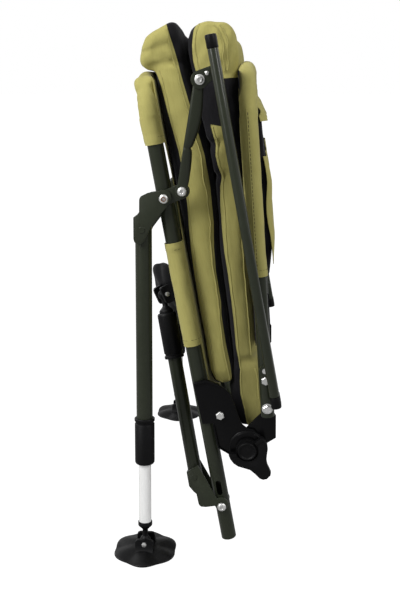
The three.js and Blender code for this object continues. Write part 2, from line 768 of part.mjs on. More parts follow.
function reclineKnob(side) {
  const y = side * rail_half;
  const from = y + side * knob_inner;
  const hub = knob_hub_diameter / 2;
  const outline = outlineOf([
    ...sharesOf(knob_outline_shares, knob_reach), ...arc(0, 0, hub - join_depth, 43, 268, 9),
  ]);
  const body = sheet(outline, from, from + side * knob_thickness);
  const cap = pin(0, 0, hub, from, from + side * knob_hub_height, facets.fine);
  const top = from + side * (knob_hub_height + knob_ring_height);
  const ring = cut(
    pin(0, 0, hub, from + side * knob_hub_height / 2, top, facets.fine),
    pin(0, 0, hub - knob_ring_width, from + side * knob_hub_height, top + side * cut_overrun, facets.fine),
  );
  const bore = pin(
    0, 0, clearance_bore(recline_bolt_diameter),
    from - side * cut_overrun, from + side * (knob_hub_height - knob_roof),
  );
  return cut(join(body, cap, ring), bore);
}

// Backrest frame
function backFrame() {
  const stations = (radius, start) =>
    hoopStations(start, back_tube_top, rail_half + back_tube_side, back_bend_radius, radius);
  const body = bent(stations(back_tube_radius, back_tube_start), back_tube_offset);
  const bore = bent(
    stations(back_tube_radius - back_tube_wall, back_tube_start - cut_overrun),
    back_tube_offset, facets.small,
  );
  const reach = back_tube_side + back_tube_radius + cut_overrun;
  const holes = sides.flatMap(([, side]) => [
    [arm_pivot_place, bolt_hole], [back_bolt_place, bolt_hole],
    [back_stud_place, small_bolt_diameter / 2 + gap],
  ].map(([x, radius]) => pin(
    x, back_tube_offset, radius,
    side * rail_half, side * (rail_half + reach),
  )));
  return cut(body, bore, ...holes);
}

function backPlateBolt(side) {
  const y = side * rail_half;
  const inner = y + side * (back_plate_inner - gap);
  const outer = y + side * (back_tube_side + back_tube_radius + gap);
  return join(
    pin(0, 0, bolt_diameter / 2, inner - side * bolt_shank_depth, outer + side * bolt_shank_depth),
    pin(0, 0, washer_diameter / 2, outer, outer + side * washer_height, facets.tube),
    pin(0, 0, bolt_head_diameter / 2, outer + side * join_depth, outer + side * (join_depth + bolt_head_height), 6),
    pin(0, 0, bolt_head_diameter / 2, inner, inner - side * bolt_head_height, 6),
  ).translate([back_bolt_place, 0, back_tube_offset]);
}

// Through the back tube from inside, into the arm's lug
function armPivotBolt(side) {
  const y = side * rail_half;
  const inner = y + side * (back_tube_side - back_tube_radius - gap);
  const end = y + side * (lug_inner + arm_bolt_depth);
  return join(
    pin(0, 0, bolt_diameter / 2, inner - side * bolt_shank_depth, end),
    pin(0, 0, bolt_head_diameter / 2, inner, inner - side * bolt_head_height, 6),
  ).translate([arm_pivot_place, 0, back_tube_offset]);
}

// Armrest
function ovalOutline(width, thickness) {
  const straight = (width - thickness) / 2;
  return strap(-straight, 0, thickness / 2, straight, 0, thickness / 2, 5);
}

// An oval bar along x whose wide side lies in y
function ovalBar(width, thickness, from, to, hole) {
  const outline = ovalOutline(width, thickness);
  if (hole) outline.holes.push(new THREE.Path(ovalOutline(width - 2 * hole, thickness - 2 * hole).getPoints()));
  const geometry = new THREE.ExtrudeGeometry(outline, { depth: to - from, bevelEnabled: false });
  return solid(geometry.rotateX(Math.PI / 2).rotateZ(Math.PI / 2).translate(from, 0, 0));
}

// In the arm's frame at its rear pivot
function armTube(side, ear) {
  const y = side * rail_half;
  const tube = ovalBar(arm_width, arm_thickness, -arm_rear_overhang, arm_front_reach, arm_wall)
    .translate([0, y + side * arm_side, arm_axis_height]);
  const inner = y + side * arm_inner;
  const ear_plate = sheet(
    strap(ear.x, ear.z, arm_ear_radius, ear.x + arm_ear_lead, arm_axis_height, arm_thickness / 2 - gap),
    inner, inner + side * arm_ear_sheet,
  );
  const lug_from = y + side * lug_inner;
  const lug = sheet(
    strap(0, 0, arm_lug_radius, 0, arm_axis_height - arm_thickness / 4, arm_lug_radius),
    lug_from, inner + side * arm_ear_sheet,
  );
  const spare = ovalBar(
    arm_width - 2 * arm_wall, arm_thickness - 2 * arm_wall, -arm_rear_overhang, arm_front_reach,
  ).translate([0, y + side * arm_side, arm_axis_height]);
  const eye = pin(0, 0, bolt_hole, lug_from - side * cut_overrun, inner + side * (arm_width / 2));
  const ear_hole = pin(
    ear.x, ear.z, bolt_hole, inner - side * cut_overrun, inner + side * (arm_ear_sheet + cut_overrun),
  );
  return cut(join(tube, ear_plate, lug), spare, eye, ear_hole);
}

function armCap(side, end, heading) {
  const shoulder = arm_cap_length - arm_cap_ease;
  const cap = ovalBar(arm_width + 2 * arm_cap_wall, arm_thickness + 2 * arm_cap_wall, gap, shoulder);
  const nose = ovalBar(
    arm_width - arm_cap_step, arm_thickness - arm_cap_step, shoulder - arm_cap_step / 2, arm_cap_length,
  );
  const spigot = ovalBar(
    arm_width - 2 * arm_wall - 2 * gap, arm_thickness - 2 * arm_wall - 2 * gap, -arm_cap_spigot, join_depth,
  );
  const body = join(cap, nose, spigot);
  const facing = heading > 0 ? body : body.rotate([0, 0, 180]);
  return facing.translate([end, side * (rail_half + arm_side), arm_axis_height]);
}

// The bolt of the linkage's open pivot: head and shank in the ear only
function strutTopBolt(side, ear) {
  const y = side * rail_half;
  const outer = y + side * (arm_inner + arm_ear_sheet + gap);
  const inner = y + side * (arm_inner + gap);
  return join(
    pin(ear.x, ear.z, bolt_diameter / 2, inner, outer + side * join_depth),
    pin(ear.x, ear.z, bolt_head_diameter / 2, outer, outer + side * bolt_rim_height, facets.tube),
    pin(
      ear.x, ear.z, bolt_head_diameter / 2 - bolt_rim_width,
      outer + side * join_depth, outer + side * bolt_head_height, facets.tube,
    ),
  );
}

// A cranked strut, flat at both eyes and round between them, in a frame at its lower pivot
function strut(side) {
  const y = side * rail_half;
  const [eye_width, waist] = [strut_width, strut_waist_thickness];
  const stations = [
    // share of the length, width in z, thickness in y, share of the crank
    [0.05, eye_width * 0.94, strut_eye_sheet, 0], [0.15, eye_width * 0.96, strut_eye_sheet * 1.2, 0.03],
    [0.25, eye_width * 0.85, waist * 0.72, 0.15], [0.33, eye_width * 0.69, waist * 0.96, 0.28],
    [0.4, eye_width * 0.625, waist, 0.4], [0.47, eye_width * 0.66, waist, 0.52],
    [0.55, eye_width * 0.86, waist * 0.88, 0.66], [0.64, eye_width, waist * 0.72, 0.8],
    [0.76, eye_width, waist * 0.56, 0.92], [0.88, eye_width * 0.925, strut_eye_sheet * 1.12, 1],
    [0.95, eye_width * 0.9, strut_eye_sheet, 1],
  ];
  const body = loft(stations.map(([along, width, thickness, crank]) => {
    const middle = strut_base_inner + strut_eye_sheet / 2 + crank * strut_crank;
    return Array.from({ length: facets.tube }, (_, i) => {
      const angle = (2 * Math.PI * (i + 0.5)) / facets.tube;
      const square = 1 / Math.pow(Math.abs(Math.cos(angle)) ** 3 + Math.abs(Math.sin(angle)) ** 3, 1 / 3);
      return [
        along * strut_length,
        y + side * (middle + (thickness / 2) * square * Math.cos(angle) * 0.92),
        (width - strut_width) / 2 + (width / 2) * square * Math.sin(angle) * 0.92,
      ];
    });
  }));
  const low = y + side * strut_base_inner;
  const high = y + side * strut_top_inner;
  const base_eye = pin(0, 0, strut_eye_radius, low, low + side * strut_eye_sheet, facets.fine);
  const top_eye = pin(strut_length, 0, strut_eye_radius, high, high + side * strut_eye_sheet, facets.fine);
  const nut = pin(strut_length, 0, bolt_head_diameter / 2, high + side * join_depth, high - side * nut_height, 6);
  const hole = pin(0, 0, bolt_hole, low - side * cut_overrun, low + side * (strut_eye_sheet + cut_overrun));
  return cut(join(body, base_eye, top_eye, nut), hole);
}

// The strut's lower bolt, through its plate
function strutBaseBolt(side) {
  const outer = strut_base_inner + strut_eye_sheet + gap;
  return bolt(0, 0, side, outer, strut_plate_inner - gap);
}

// Fabric and padding
const soft_corner_share = 0.42; // of a pad's thickness

// One cross-section of a pad: half width, lower and upper face, crown
function padRing(x, half, low, high, crown, pull) {
  const corner = (high - low) * soft_corner_share;
  const shares = [-1, -0.72, -0.38, 0, 0.38, 0.72, 1];
  const flat = half - corner;
  const top = shares.map((t) => [x, t * flat, high + crown * (1 - t * t)]);
  const right = [
    [x, half - corner * 0.3, high - corner * 0.3],
    [x, half - pull, (high + low) / 2],
    [x, half - corner * 0.3, low + corner * 0.3],
  ];
  const under = shares.slice().reverse().map((t) => [x, t * flat, low]);
  const left = right.slice().reverse().map(([, y, z]) => [x, -y, z]);
  return [...top, ...right, ...under, ...left];
}

function seatCushion() {
  const half = seat_cushion_width / 2;
  const low = seat_cushion_underside;
  const high = seat_cushion_top;
  const thick = high - low;
  const rear = seat_rear_thickness;
  const drop = seat_roll_drop;
  const rise = seat_cushion_crown;
  const roll = seat_cushion_reach - seat_roll_length;
  const flat = (share) => seat_cushion_start + share * (roll - seat_cushion_start);
  const over = (share) => roll + share * seat_roll_length;
  const stations = [
    // x, half width, lower face, upper face, crown
    [flat(0), half * 0.934, low + thick * 0.22, low + rear * 0.69, 0],
    [flat(0.014), half * 0.976, low + thick * 0.073, low + rear * 0.96, rise * 0.29],
    [flat(0.061), half, low, low + rear * 1.08, rise * 0.43],
    [flat(0.211), half, low, low + thick * 0.756, rise * 0.71],
    [flat(0.446), half, low, low + thick * 0.951, rise * 0.86],
    [flat(0.704), half, low, high, rise],
    [flat(0.897), half, low, low + thick * 0.927, rise],
    [flat(0.967), half, low, low + thick * 0.78, rise * 0.57],
    [over(0.01), half, low, low + thick * 0.707, rise * 0.43],
    [over(0.03), half, low - drop * 0.6, low + thick * 0.707, rise * 0.43],
    [over(0.23), half * 1.005, low - drop, low + thick * 0.756, rise * 0.43],
    [over(0.577), half * 1.005, low - drop, low + thick * 0.78, rise * 0.43],
    [over(0.846), half * 0.986, low - drop * 0.33, low + thick * 0.683, rise * 0.29],
    [over(1), half * 0.934, low + thick * 0.098, low + thick * 0.415, 0],
  ];
  return loft(stations.map(([x, w, lo, hi, crown]) => padRing(x, w, lo, hi, crown, pad_pull)));
}

function backCushion() {
  const half = back_cushion_width / 2;
  const rear = back_cushion_rear;
  const front = back_cushion_front;
  const crown = back_cushion_crown;
  const reach = back_cushion_reach;
  const grade = (x) => (pillow_front - front) * Math.max(0, (x - pillow_start) / (reach - pillow_start));
  const channel = (share) => {
    const x = reach * share;
    const face = front + grade(x);
    return [
      [x - channel_half_length, half, rear, face, crown],
      [x, half - channel_waist, rear * 0.95, face - channel_depth, crown / 2],
      [x + channel_half_length, half, rear, face, crown],
    ];
  };
  const lumbar = (share) => back_cushion_start + share * (lumbar_end - back_cushion_start);
  const above = (share) => lumbar_end + share * (pillow_start - lumbar_end);
  const swell = (share) => [reach * share, half, rear, front * 1.17 + grade(reach * share), crown];
  const stations = [
    // x, half width, rear face, front face, crown
    [lumbar(0), half * 0.943, rear * 0.6, -front * 0.25, 0],
    [lumbar(0.065), half * 0.986, rear * 0.9, front * 0.25, crown * 0.33],
    [lumbar(0.28), half, rear, front * 0.58, crown / 2],
    [lumbar(0.85), half, rear, front * 0.58, crown / 2],
    [lumbar(1), half * 0.986, rear * 0.85, front * 0.083, crown * 0.17],
    [above(0.05), half, rear, front * 0.75, crown / 2],
    [above(0.287), half, rear, front, crown / 2],
    [above(0.61), half, rear, front, crown * 0.67],
    ...channel_place_shares.flatMap(channel),
    swell(0.795),
    swell(0.897),
    [reach * 0.956, half, rear * 0.9, pillow_front, crown * 0.67],
    [reach * 0.985, half * 0.981, rear * 0.5, pillow_front * 0.9, crown / 2],
    [reach, half * 0.925, -rear * 0.19, pillow_front * 0.63, 0],
  ];
  return loft(stations.map(([x, w, lo, hi, rise]) =>
    padRing(x, w, -lo, hi, rise, pad_pull).map(([px, py, pz]) => [px, py, -pz])));
}

// Seat sling: rear sleeves on the rails, a sleeve round the front bar and the sheet between them
function seatSling() {
  const inner = rail_radius + gap;
  const outer = inner + sleeve_sheet;
  const stations = (radius, start) =>
    hoopStations(start, hoop_reach, rail_half, hoop_bend_radius, radius);
  const hood = cut(
    bent(stations(outer, front_sleeve_start), 0),
    bent(stations(inner, front_sleeve_start - cut_overrun), 0),
  );
  const sleeves = sides.map(([, side]) =>
    pipe(outer, inner, rear_sleeve_start, rear_sleeve_end).translate([0, side * rail_half, 0]));
  const length = hoop_reach - sling_start;
  const top = new THREE.BoxGeometry(length, rail_spacing - 2 * sling_edge, sling_sheet);
  const panel = solid(top.translate(sling_start + length / 2, 0, inner + sling_sheet / 2));
  return join(hood, ...sleeves, panel);
}

// Back sling, in the backrest's frame
function backSling() {
  const inner = back_tube_radius + gap;
  const outer = inner + sleeve_sheet;
  const half = rail_half + back_tube_side;
  const stations = (radius, start) =>
    hoopStations(start, back_tube_top, half, back_bend_radius, radius);
  const hood = cut(
    bent(stations(outer, back_sleeve_start), back_tube_offset),
    bent(stations(inner, back_sleeve_start - cut_overrun), back_tube_offset),
  );
  const z = back_tube_offset - inner - sling_sheet / 2;
  const length = back_tube_top - back_sleeve_start;
  const panel = solid(new THREE.BoxGeometry(length, 2 * (half - sling_edge), sling_sheet)
    .translate(back_sleeve_start + length / 2, 0, z));
  const tail_length = back_sleeve_start - back_sling_start + join_depth;
  const tail_half = rail_half + back_plate_inner - sling_tail_air;
  const tail = solid(new THREE.BoxGeometry(tail_length, 2 * tail_half, sling_sheet)
    .translate(back_sling_start + tail_length / 2, 0, z));
  return join(hood, panel, tail);
}

// The pocket behind the backrest: flap above, bag that sags below
function backPocket() {
  const half = pocket_width / 2;
  const near = back_tube_offset - back_tube_radius + gap;
  const length = pocket_reach - pocket_start;
  const rings = [
    // share of the length, half width, depth share
    [0, half * 0.96, 0.76], [0.06, half * 0.995, 0.94], [0.14, half, 1.05], [0.27, half, 1 + pocket_sag_share],
    [0.56, half, 1 + pocket_sag_share * 0.9], [0.72, half, 1], [0.87, half, 0.97], [0.95, half * 0.99, 0.8],
    [1, half * 0.97, 0.55],
  ];
  return loft(rings.map(([along, w, depth]) => {
    const far = near + pocket_depth * depth;
    const x = pocket_start + along * length;
    return padRing(x, w, near, far, pocket_crown, pocket_pull);
  }));
}

// Assembly
const chair = new THREE.Group();
chair.name = "chair";

const front_leg_down = front_pivot_place * Math.cos(degrees(rail_lean)) + rail_radius * Math.sin(degrees(rail_lean));
const front_rivet_reach = (front_leg_down - foot_height) / Math.cos(degrees(front_leg_splay));
const front_extension = front_rivet_reach - front_leg_reach - plug_reach;

for (const [name, side] of sides) {
  place(chair, `rail_${name}`, rail(side), olive_paint);
}
place(chair, "front_hoop", frontHoop(), olive_paint);
place(chair, "rear_cross_tube", crossTube(), olive_paint);
place(chair, "seat_sling", seatSling(), olive_fabric);
place(chair, "seat_cushion", seatCushion(), olive_fabric);

// A telescopic end: collar, inner leg, plug and foot, on the leg's axis in a frame at the collar's end
function telescope(parent, name, reach, offset, tube_diameter, extension, foot_rest) {
  const axis = frame(parent, `${name}_collar_axis`, reach, 0, offset);
  place(axis, `${name}_lock_collar`, lockCollar(tube_diameter), black_plastic);
  const slide = frame(axis, `${name}_slide_axis`, extension, 0, 0);
  place(slide, `${name}_inner_tube`, innerLeg(), bright_steel);
  const turned_plug = frame(slide, `${name}_plug_turn`, 0, 0, 0);
  turned_plug.rotation.x = degrees(foot_rest.twist);
  place(turned_plug, `${name}_ball_plug`, ballPlug(foot_rest.level), black_plastic);
  const seat = frame(turned_plug, `${name}_foot_seat`, plug_reach, 0, 0);
  seat.rotation.z = degrees(-foot_rest.level);
  const foot = frame(seat, `${name}_foot_axis`, 0, 0, 0, foot_rest.swivel);
  place(foot, `${name}_mud_foot`, mudFoot(), black_plastic);
}

for (const [name, side] of sides) {
  const y = side * rail_half;
  const hinge = frame(chair, `front_leg_${name}_axis`, front_pivot_place, y, 0, 180 - rail_lean);
  const leg = frame(hinge, `front_leg_${name}_lean`, 0, 0, 0);
  leg.rotation.z = degrees(side * front_leg_splay);
  place(leg, `front_leg_${name}_tube`, frontLegTube(side), olive_paint);
  telescope(
    leg, `front_leg_${name}`, front_leg_reach, front_leg_offset, front_leg_diameter,
    front_extension, { swivel: 0, level: side * front_leg_splay, twist: 0 },
  );
  const lean_room = (front_eye_radius) * Math.sin(degrees(front_leg_splay));
  const outer = front_cheek_inner + bracket_sheet + lean_room;
  place(chair, `front_leg_bolt_${name}`, bolt(front_pivot_place, 0, side, outer, -outer), bright_zinc);
}

for (const [name, side] of sides) {
  const y = side * rail_half;
  const hinge = frame(chair, `rear_leg_${name}_axis`, rear_hinge_place, y, 0, rear_leg_rest);
  const leg = frame(hinge, `rear_leg_${name}_lean`, 0, 0, 0);
  leg.rotation.z = degrees(-side * rear_leg_lean);
  const folded = frame(leg, `rear_leg_${name}_side`, 0, 0, 0);
  folded.rotation.x = Math.PI;
  place(folded, `rear_leg_${name}_tube`, rearLegTube(side), olive_paint);
  telescope(
    folded, `rear_leg_${name}`, rear_leg_reach, rear_leg_offset, rear_leg_diameter,
    0, { swivel: -rear_foot_rest, level: 0, twist: side * rear_foot_twist },
  );
  const lean_room = rear_eye_radius * Math.sin(degrees(rear_leg_lean));
  const outer = rear_cheek_inner + bracket_sheet + lean_room;
  place(chair, `rear_leg_bolt_${name}`, bolt(rear_hinge_place, 0, side, outer, -outer), bright_zinc);
}

for (const [name, side] of sides) {
  place(chair, `strut_plate_${name}`, strutPlate(side), olive_paint);
  const turn = -THREE.MathUtils.radToDeg(strut_rest);
  const base = frame(chair, `strut_${name}_axis`, strut_base_forward, 0, strut_base_height, turn);
  place(base, `strut_${name}`, strut(side), olive_paint);
  const still = frame(chair, `strut_base_${name}`, strut_base_forward, 0, strut_base_height);
  place(still, `strut_base_bolt_${name}`, strutBaseBolt(side), bright_zinc);
  place(chair, `seat_hinge_plate_${name}`, seatHingePlate(side), black_steel);
}

const back = frame(chair, "back_recline_axis", recline_forward, 0, recline_height, -back_rest_angle);
place(back, "back_frame", backFrame(), olive_paint);
place(back, "back_sling", backSling(), olive_fabric);
place(back, "back_cushion", backCushion(), olive_fabric);
place(back, "back_pocket", backPocket(), olive_fabric);

for (const [name, side] of sides) {
  const axle = frame(chair, `recline_knob_${name}_axis`, recline_forward, 0, recline_height);
  place(axle, `recline_bolt_${name}`, reclineBolt(side), bright_zinc);
  place(axle, `recline_knob_${name}`, reclineKnob(side), black_plastic);
  place(back, `back_hinge_plate_${name}`, backHingePlate(side), black_steel);
  place(back, `back_plate_bolt_${name}`, backPlateBolt(side), bright_zinc);
  place(back, `arm_pivot_bolt_${name}`, armPivotBolt(side), bright_zinc);
  const turn = back_rest_angle - arm_rest_tilt;
  const arm = frame(back, `arm_${name}_axis`, arm_pivot_place, 0, back_tube_offset, turn);
  chair.updateMatrixWorld(true);
  const ear = arm.worldToLocal(new THREE.Vector3(strut_top_forward, 0, strut_top_height));
  place(arm, `arm_tube_${name}`, armTube(side, ear), olive_paint);
  place(arm, `arm_front_cap_${name}`, armCap(side, arm_front_reach, 1), black_plastic);
  place(arm, `arm_rear_cap_${name}`, armCap(side, -arm_rear_overhang, -1), black_plastic);
  place(arm, `strut_top_bolt_${name}`, strutTopBolt(side, ear), bright_zinc);
}

// Stand the folded chair on its rail ends and front feet, with the origin on the floor under its middle.
const stance = new THREE.Group();
stance.name = "folding_chair";
const lean = degrees(rail_lean);
chair.rotation.setFromRotationMatrix(new THREE.Matrix4().makeBasis(
  new THREE.Vector3(-Math.sin(lean), 0, Math.cos(lean)),
  new THREE.Vector3(0, -1, 0),
  new THREE.Vector3(Math.cos(lean), 0, Math.sin(lean)),
));
stance.add(chair);
stance.updateMatrixWorld(true);
const box = new THREE.Box3().setFromObject(stance, true);
chair.position.set(-(box.min.x + box.max.x) / 2, -(box.min.y + box.max.y) / 2, -box.min.z);

export default stance;
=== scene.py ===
"""Dresses a folded bank chair: painted tubes, cloth over its frame and padding, and a white stage."""

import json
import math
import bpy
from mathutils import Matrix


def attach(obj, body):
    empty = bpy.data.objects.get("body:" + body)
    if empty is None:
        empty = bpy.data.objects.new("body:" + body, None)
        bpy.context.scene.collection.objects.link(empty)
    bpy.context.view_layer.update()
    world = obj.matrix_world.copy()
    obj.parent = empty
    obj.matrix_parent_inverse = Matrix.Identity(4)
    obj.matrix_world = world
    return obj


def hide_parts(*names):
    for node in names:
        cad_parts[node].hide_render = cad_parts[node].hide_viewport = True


bl_info = {
    "name": "Folding bank chair",
    "version": (1, 0, 0),
    "blender": (4, 5, 0),
    "location": "View3D > Sidebar > Bank chair",
    "description": "Builds the visible pieces of a folding bank chair around its fixed frame",
    "category": "Object",
}

from types import SimpleNamespace

import bmesh
import bpy
from mathutils import Matrix, Vector, noise

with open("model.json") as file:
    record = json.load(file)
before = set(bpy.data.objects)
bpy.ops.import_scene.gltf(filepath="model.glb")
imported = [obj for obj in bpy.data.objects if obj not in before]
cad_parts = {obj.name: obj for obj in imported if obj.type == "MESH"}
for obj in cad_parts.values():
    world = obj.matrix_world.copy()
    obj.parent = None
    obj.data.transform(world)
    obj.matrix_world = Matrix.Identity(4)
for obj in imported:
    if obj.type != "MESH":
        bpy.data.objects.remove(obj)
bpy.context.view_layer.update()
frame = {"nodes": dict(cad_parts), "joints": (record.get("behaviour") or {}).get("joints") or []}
JOINTS = {joint["name"]: joint for joint in frame["joints"]}

MM = 0.001
SIDES = (("left", 1), ("right", -1))
SMOOTH_ANGLE = math.radians(38)
EDGE_ANGLE = math.radians(35)
HOLLOW = 0.03  # metres that a bent tube is open at each end
MERGE = 0.00001  # metres within which two points are one


# Sizes and colours


def number(label, value, text, **limits):
    """A number property with its own limits."""
    return bpy.props.FloatProperty(name=label, description=text, default=value, **limits)


def length(label, millimetres, text):
    """A length property whose default is written in millimetres."""
    return number(label, millimetres * MM, text, min=0.0, subtype="DISTANCE", unit="LENGTH")


def linear(level):
    """One display channel from 0 to 255 as a linear value."""
    share = level / 255
    return share / 12.92 if share <= 0.04045 else ((share + 0.055) / 1.055) ** 2.4


def colour(label, display, text):
    """A colour property whose default is written as display values from 0 to 255."""
    return bpy.props.FloatVectorProperty(
        name=label, description=text, default=[linear(c) for c in display], size=3, min=0.0, max=1.0,
        subtype="COLOR",
    )


class TubeSizes(bpy.types.PropertyGroup):
    """Tubes, legs and the places where they pivot."""

    rail_diameter: length("Rail", 22, "Outside diameter of the seat rails")
    rail_wall: length("Rail wall", 1.5, "Wall of the seat rails")
    rail_length: length("Rail length", 610, "Length of the straight seat rails")
    rail_spacing: length("Rail spacing", 426, "Distance between the axes of the seat rails")
    hoop_reach: length("Front bar reach", 673, "From the rails' rear ends to the front bar")
    hoop_bend: length("Front bar bend", 46, "Bend radius of the front bar")
    cross_tube_diameter: length("Cross tube", 19, "Diameter of the tube between the rails")
    cross_tube_place: length("Cross tube place", 275, "How far up the rails the cross tube is")
    front_leg_diameter: length("Front leg", 23, "Outside diameter of the front legs")
    front_leg_wall: length("Front leg wall", 2, "Wall of the front legs")
    front_pivot: length("Front pivot", 519.4, "How far up the rails the front legs pivot")
    front_leg_offset: length("Front leg offset", 29.8, "From the pivot to the front leg's axis")
    front_leg_reach: length("Front leg reach", 380, "From the pivot to the front collar's free end")
    front_leg_start: length("Front leg start", 26.6, "From the pivot to the top of the front leg's tube")
    rear_leg_diameter: length("Rear leg", 20.5, "Outside diameter of the rear legs")
    rear_leg_wall: length("Rear leg wall", 1, "Wall of the rear legs")
    rear_hinge: length("Rear hinge", 59.8, "How far up the rails the rear legs hinge")
    rear_leg_offset: length("Rear leg offset", 32.6, "From the hinge to the rear leg's axis")
    rear_leg_reach: length("Rear leg reach", 291, "From the hinge to the rear collar's free end")
    rear_leg_start: length("Rear leg start", 33, "From the hinge to the foot of the rear leg's tube")
    collar_diameter: length("Collar", 29, "Outside diameter of a lock collar")
    collar_length: length("Collar length", 68, "Length of a lock collar")
    collar_lip: length("Collar lip", 12, "Length of the collar that grips the inner leg")
    inner_leg_diameter: length("Inner leg", 18, "Diameter of the bright inner legs")
    inner_leg_length: length("Inner leg length", 225, "Length of the bright inner legs")
    plug_reach: length("Plug reach", 27, "From the inner leg's end to the foot's rivet")
    ball_diameter: length("Ball", 16, "Diameter of the ball in the foot")
    foot_diameter: length("Foot", 94, "Diameter of a mud foot")
    foot_height: length("Foot height", 17, "From the rivet to the sole")
    back_tube_diameter: length("Back tube", 19, "Diameter of the backrest's tube")
    back_tube_offset: length("Back tube offset", 32.4, "Back tube's axis behind the recline axis")
    back_tube_start: length("Back tube start", 51, "Lower end of the back tube, from the recline axis")
    back_tube_top: length("Back tube top", 523, "Top of the back tube, from the recline axis")
    back_bend: length("Back bend", 58, "Bend radius of the back tube")
    recline_forward: length("Recline place", 146.1, "How far up the rails the recline axis is")
    recline_height: length("Recline height", 52, "Recline axis above the rails")
    arm_pivot: length("Arm pivot", 122.9, "Arm pivot, up the back tube")
    arm_width: length("Arm width", 28, "Wide side of the oval arm tube")
    arm_thickness: length("Arm thickness", 13, "Narrow side of the oval arm tube")
    arm_overhang: length("Arm overhang", 31, "Arm tube behind its pivot")
    arm_reach: length("Arm reach", 429, "Arm tube in front of its pivot")
    arm_height: length("Arm height", 7.8, "Arm tube's axis above its pivot")
    arm_cap: length("Arm cap", 17, "Length of the cap on each end of an arm")
    strut_base_forward: length("Strut base", 525, "Lower pivot of the strut, up the rails")
    strut_base_height: length("Strut base height", 26, "Lower pivot of the strut, above the rails")
    strut_top_forward: length("Strut top", 661.5, "Upper pivot of the strut, up the rails")
    strut_top_height: length("Strut top height", 75.6, "Upper pivot of the strut, above the rails")
    bolt_head: length("Bolt head", 12.8, "Diameter of the pivot bolts' heads")
    gap: length("Gap", 0.3, "Air between faces that touch")


class SoftSizes(bpy.types.PropertyGroup):
    """Cloth, padding and the pocket."""

    sleeve_cloth: length("Sleeve cloth", 2, "Cloth and its hems round a tube")
    rear_sleeve_start: length("Rear sleeve start", 308, "Lower end of the rear sleeves, up the rails")
    rear_sleeve_end: length("Rear sleeve end", 457, "Upper end of the rear sleeves, up the rails")
    front_sleeve_start: length("Front sleeve start", 591, "Lower end of the front hood, up the rails")
    sling_start: length("Sling start", 188, "Lower edge of the seat's sling")
    back_sleeve_start: length("Back sleeve start", 254.6, "Lower end of the back sleeves")
    back_sling_start: length("Back sling start", 150, "Lower edge of the back's sling")
    pad_width: length("Pad width", 424, "Width of the seat and back cushions")
    seat_start: length("Seat start", 233, "Lower end of the seat cushion")
    seat_reach: length("Seat reach", 740, "Upper end of the seat cushion")
    seat_low: length("Seat underside", 14, "Underside of the seat cushion, above the rails' axis")
    seat_roll: length("Seat roll", 52, "Length of the roll over the front bar")
    seat_roll_drop: length("Seat roll drop", 15, "How far the roll hangs below the cushion")
    back_start: length("Back start", 19, "Lower end of the back cushion")
    back_reach: length("Back reach", 591, "Upper end of the back cushion")
    back_rear: length("Back rear", 20.2, "Rear face of the back cushion")
    pillow_start: length("Pillow start", 515, "Seam below the head pillow")
    lumbar_end: length("Lumbar end", 121, "Seam above the lumbar roll")
    pocket_width: length("Pocket width", 404, "Width of the rear pocket")
    pocket_start: length("Pocket start", 228, "Lower end of the rear pocket")
    pocket_reach: length("Pocket reach", 492, "Upper end of the rear pocket")
    pocket_depth: length("Pocket depth", 27, "Depth of the rear pocket")
    piping: length("Piping", 2, "Diameter of the piping on a seam")
    stitch_pitch: length("Stitch pitch", 5.2, "From one stitch to the next")


class Finishes(bpy.types.PropertyGroup):
    """Colours of the finishes."""

    olive_cloth: colour("Olive cloth", (178, 171, 104), "Polyester cloth of the covers")
    olive_shade: colour("Olive shade", (150, 143, 80), "Darker threads of the olive cloth")
    black_cloth: colour("Black cloth", (12, 11, 15), "Cloth of the sitting faces and the pocket's sides")
    olive_paint: colour("Olive paint", (38, 42, 31), "Paint of the tubes")
    black_paint: colour("Black paint", (6, 6, 7), "Paint of the hinge plates")
    black_plastic: colour("Black plastic", (9, 9, 10), "Moulded collars, knobs, caps and feet")
    zinc: colour("Zinc", (214, 214, 212), "Plated bolts")
    steel: colour("Bright steel", (252, 252, 251), "Inner legs")
    bronze: colour("Bronze", (140, 88, 52), "Sleeve in the front pivot bolt")
    thread: colour("Thread", (58, 53, 26), "Stitches")
    floor: colour("Floor", (255, 255, 255), "Floor and backdrop")


class StageSettings(bpy.types.PropertyGroup):
    """Camera and lamps."""

    camera_right: length("Camera right", 33.3, "Camera to the right of the rails' rear ends")
    camera_away: length("Camera away", 1289, "Camera in front of the object's middle")
    camera_height: length("Camera height", 659, "Camera above the floor")
    camera_tilt: number("Camera tilt", math.radians(75), "Camera's turn from straight down", subtype="ANGLE")
    camera_turn: number("Camera turn", math.radians(4.1), "Camera's turn round the vertical", subtype="ANGLE")
    camera_lens: number("Lens", 48, "Focal length in millimetres", min=10, max=200)
    key_power: number("Key lamp", 46, "Power of the soft lamp on the left", min=0, subtype="POWER")
    fill_power: number("Fill lamp", 16, "Power of the soft lamp on the right", min=0, subtype="POWER")
    world_light: number("World light", 0.27, "Strength of the world on matt surfaces", min=0, max=2)


GROUPS = {
    "bank_chair_tubes": TubeSizes,
    "bank_chair_cloth": SoftSizes,
    "bank_chair_finishes": Finishes,
    "bank_chair_stage": StageSettings,
}


def names_of(values):
    """Names of a group's own properties."""
    return [name for name in values.bl_rna.properties.keys() if name not in ("rna_type", "name")]


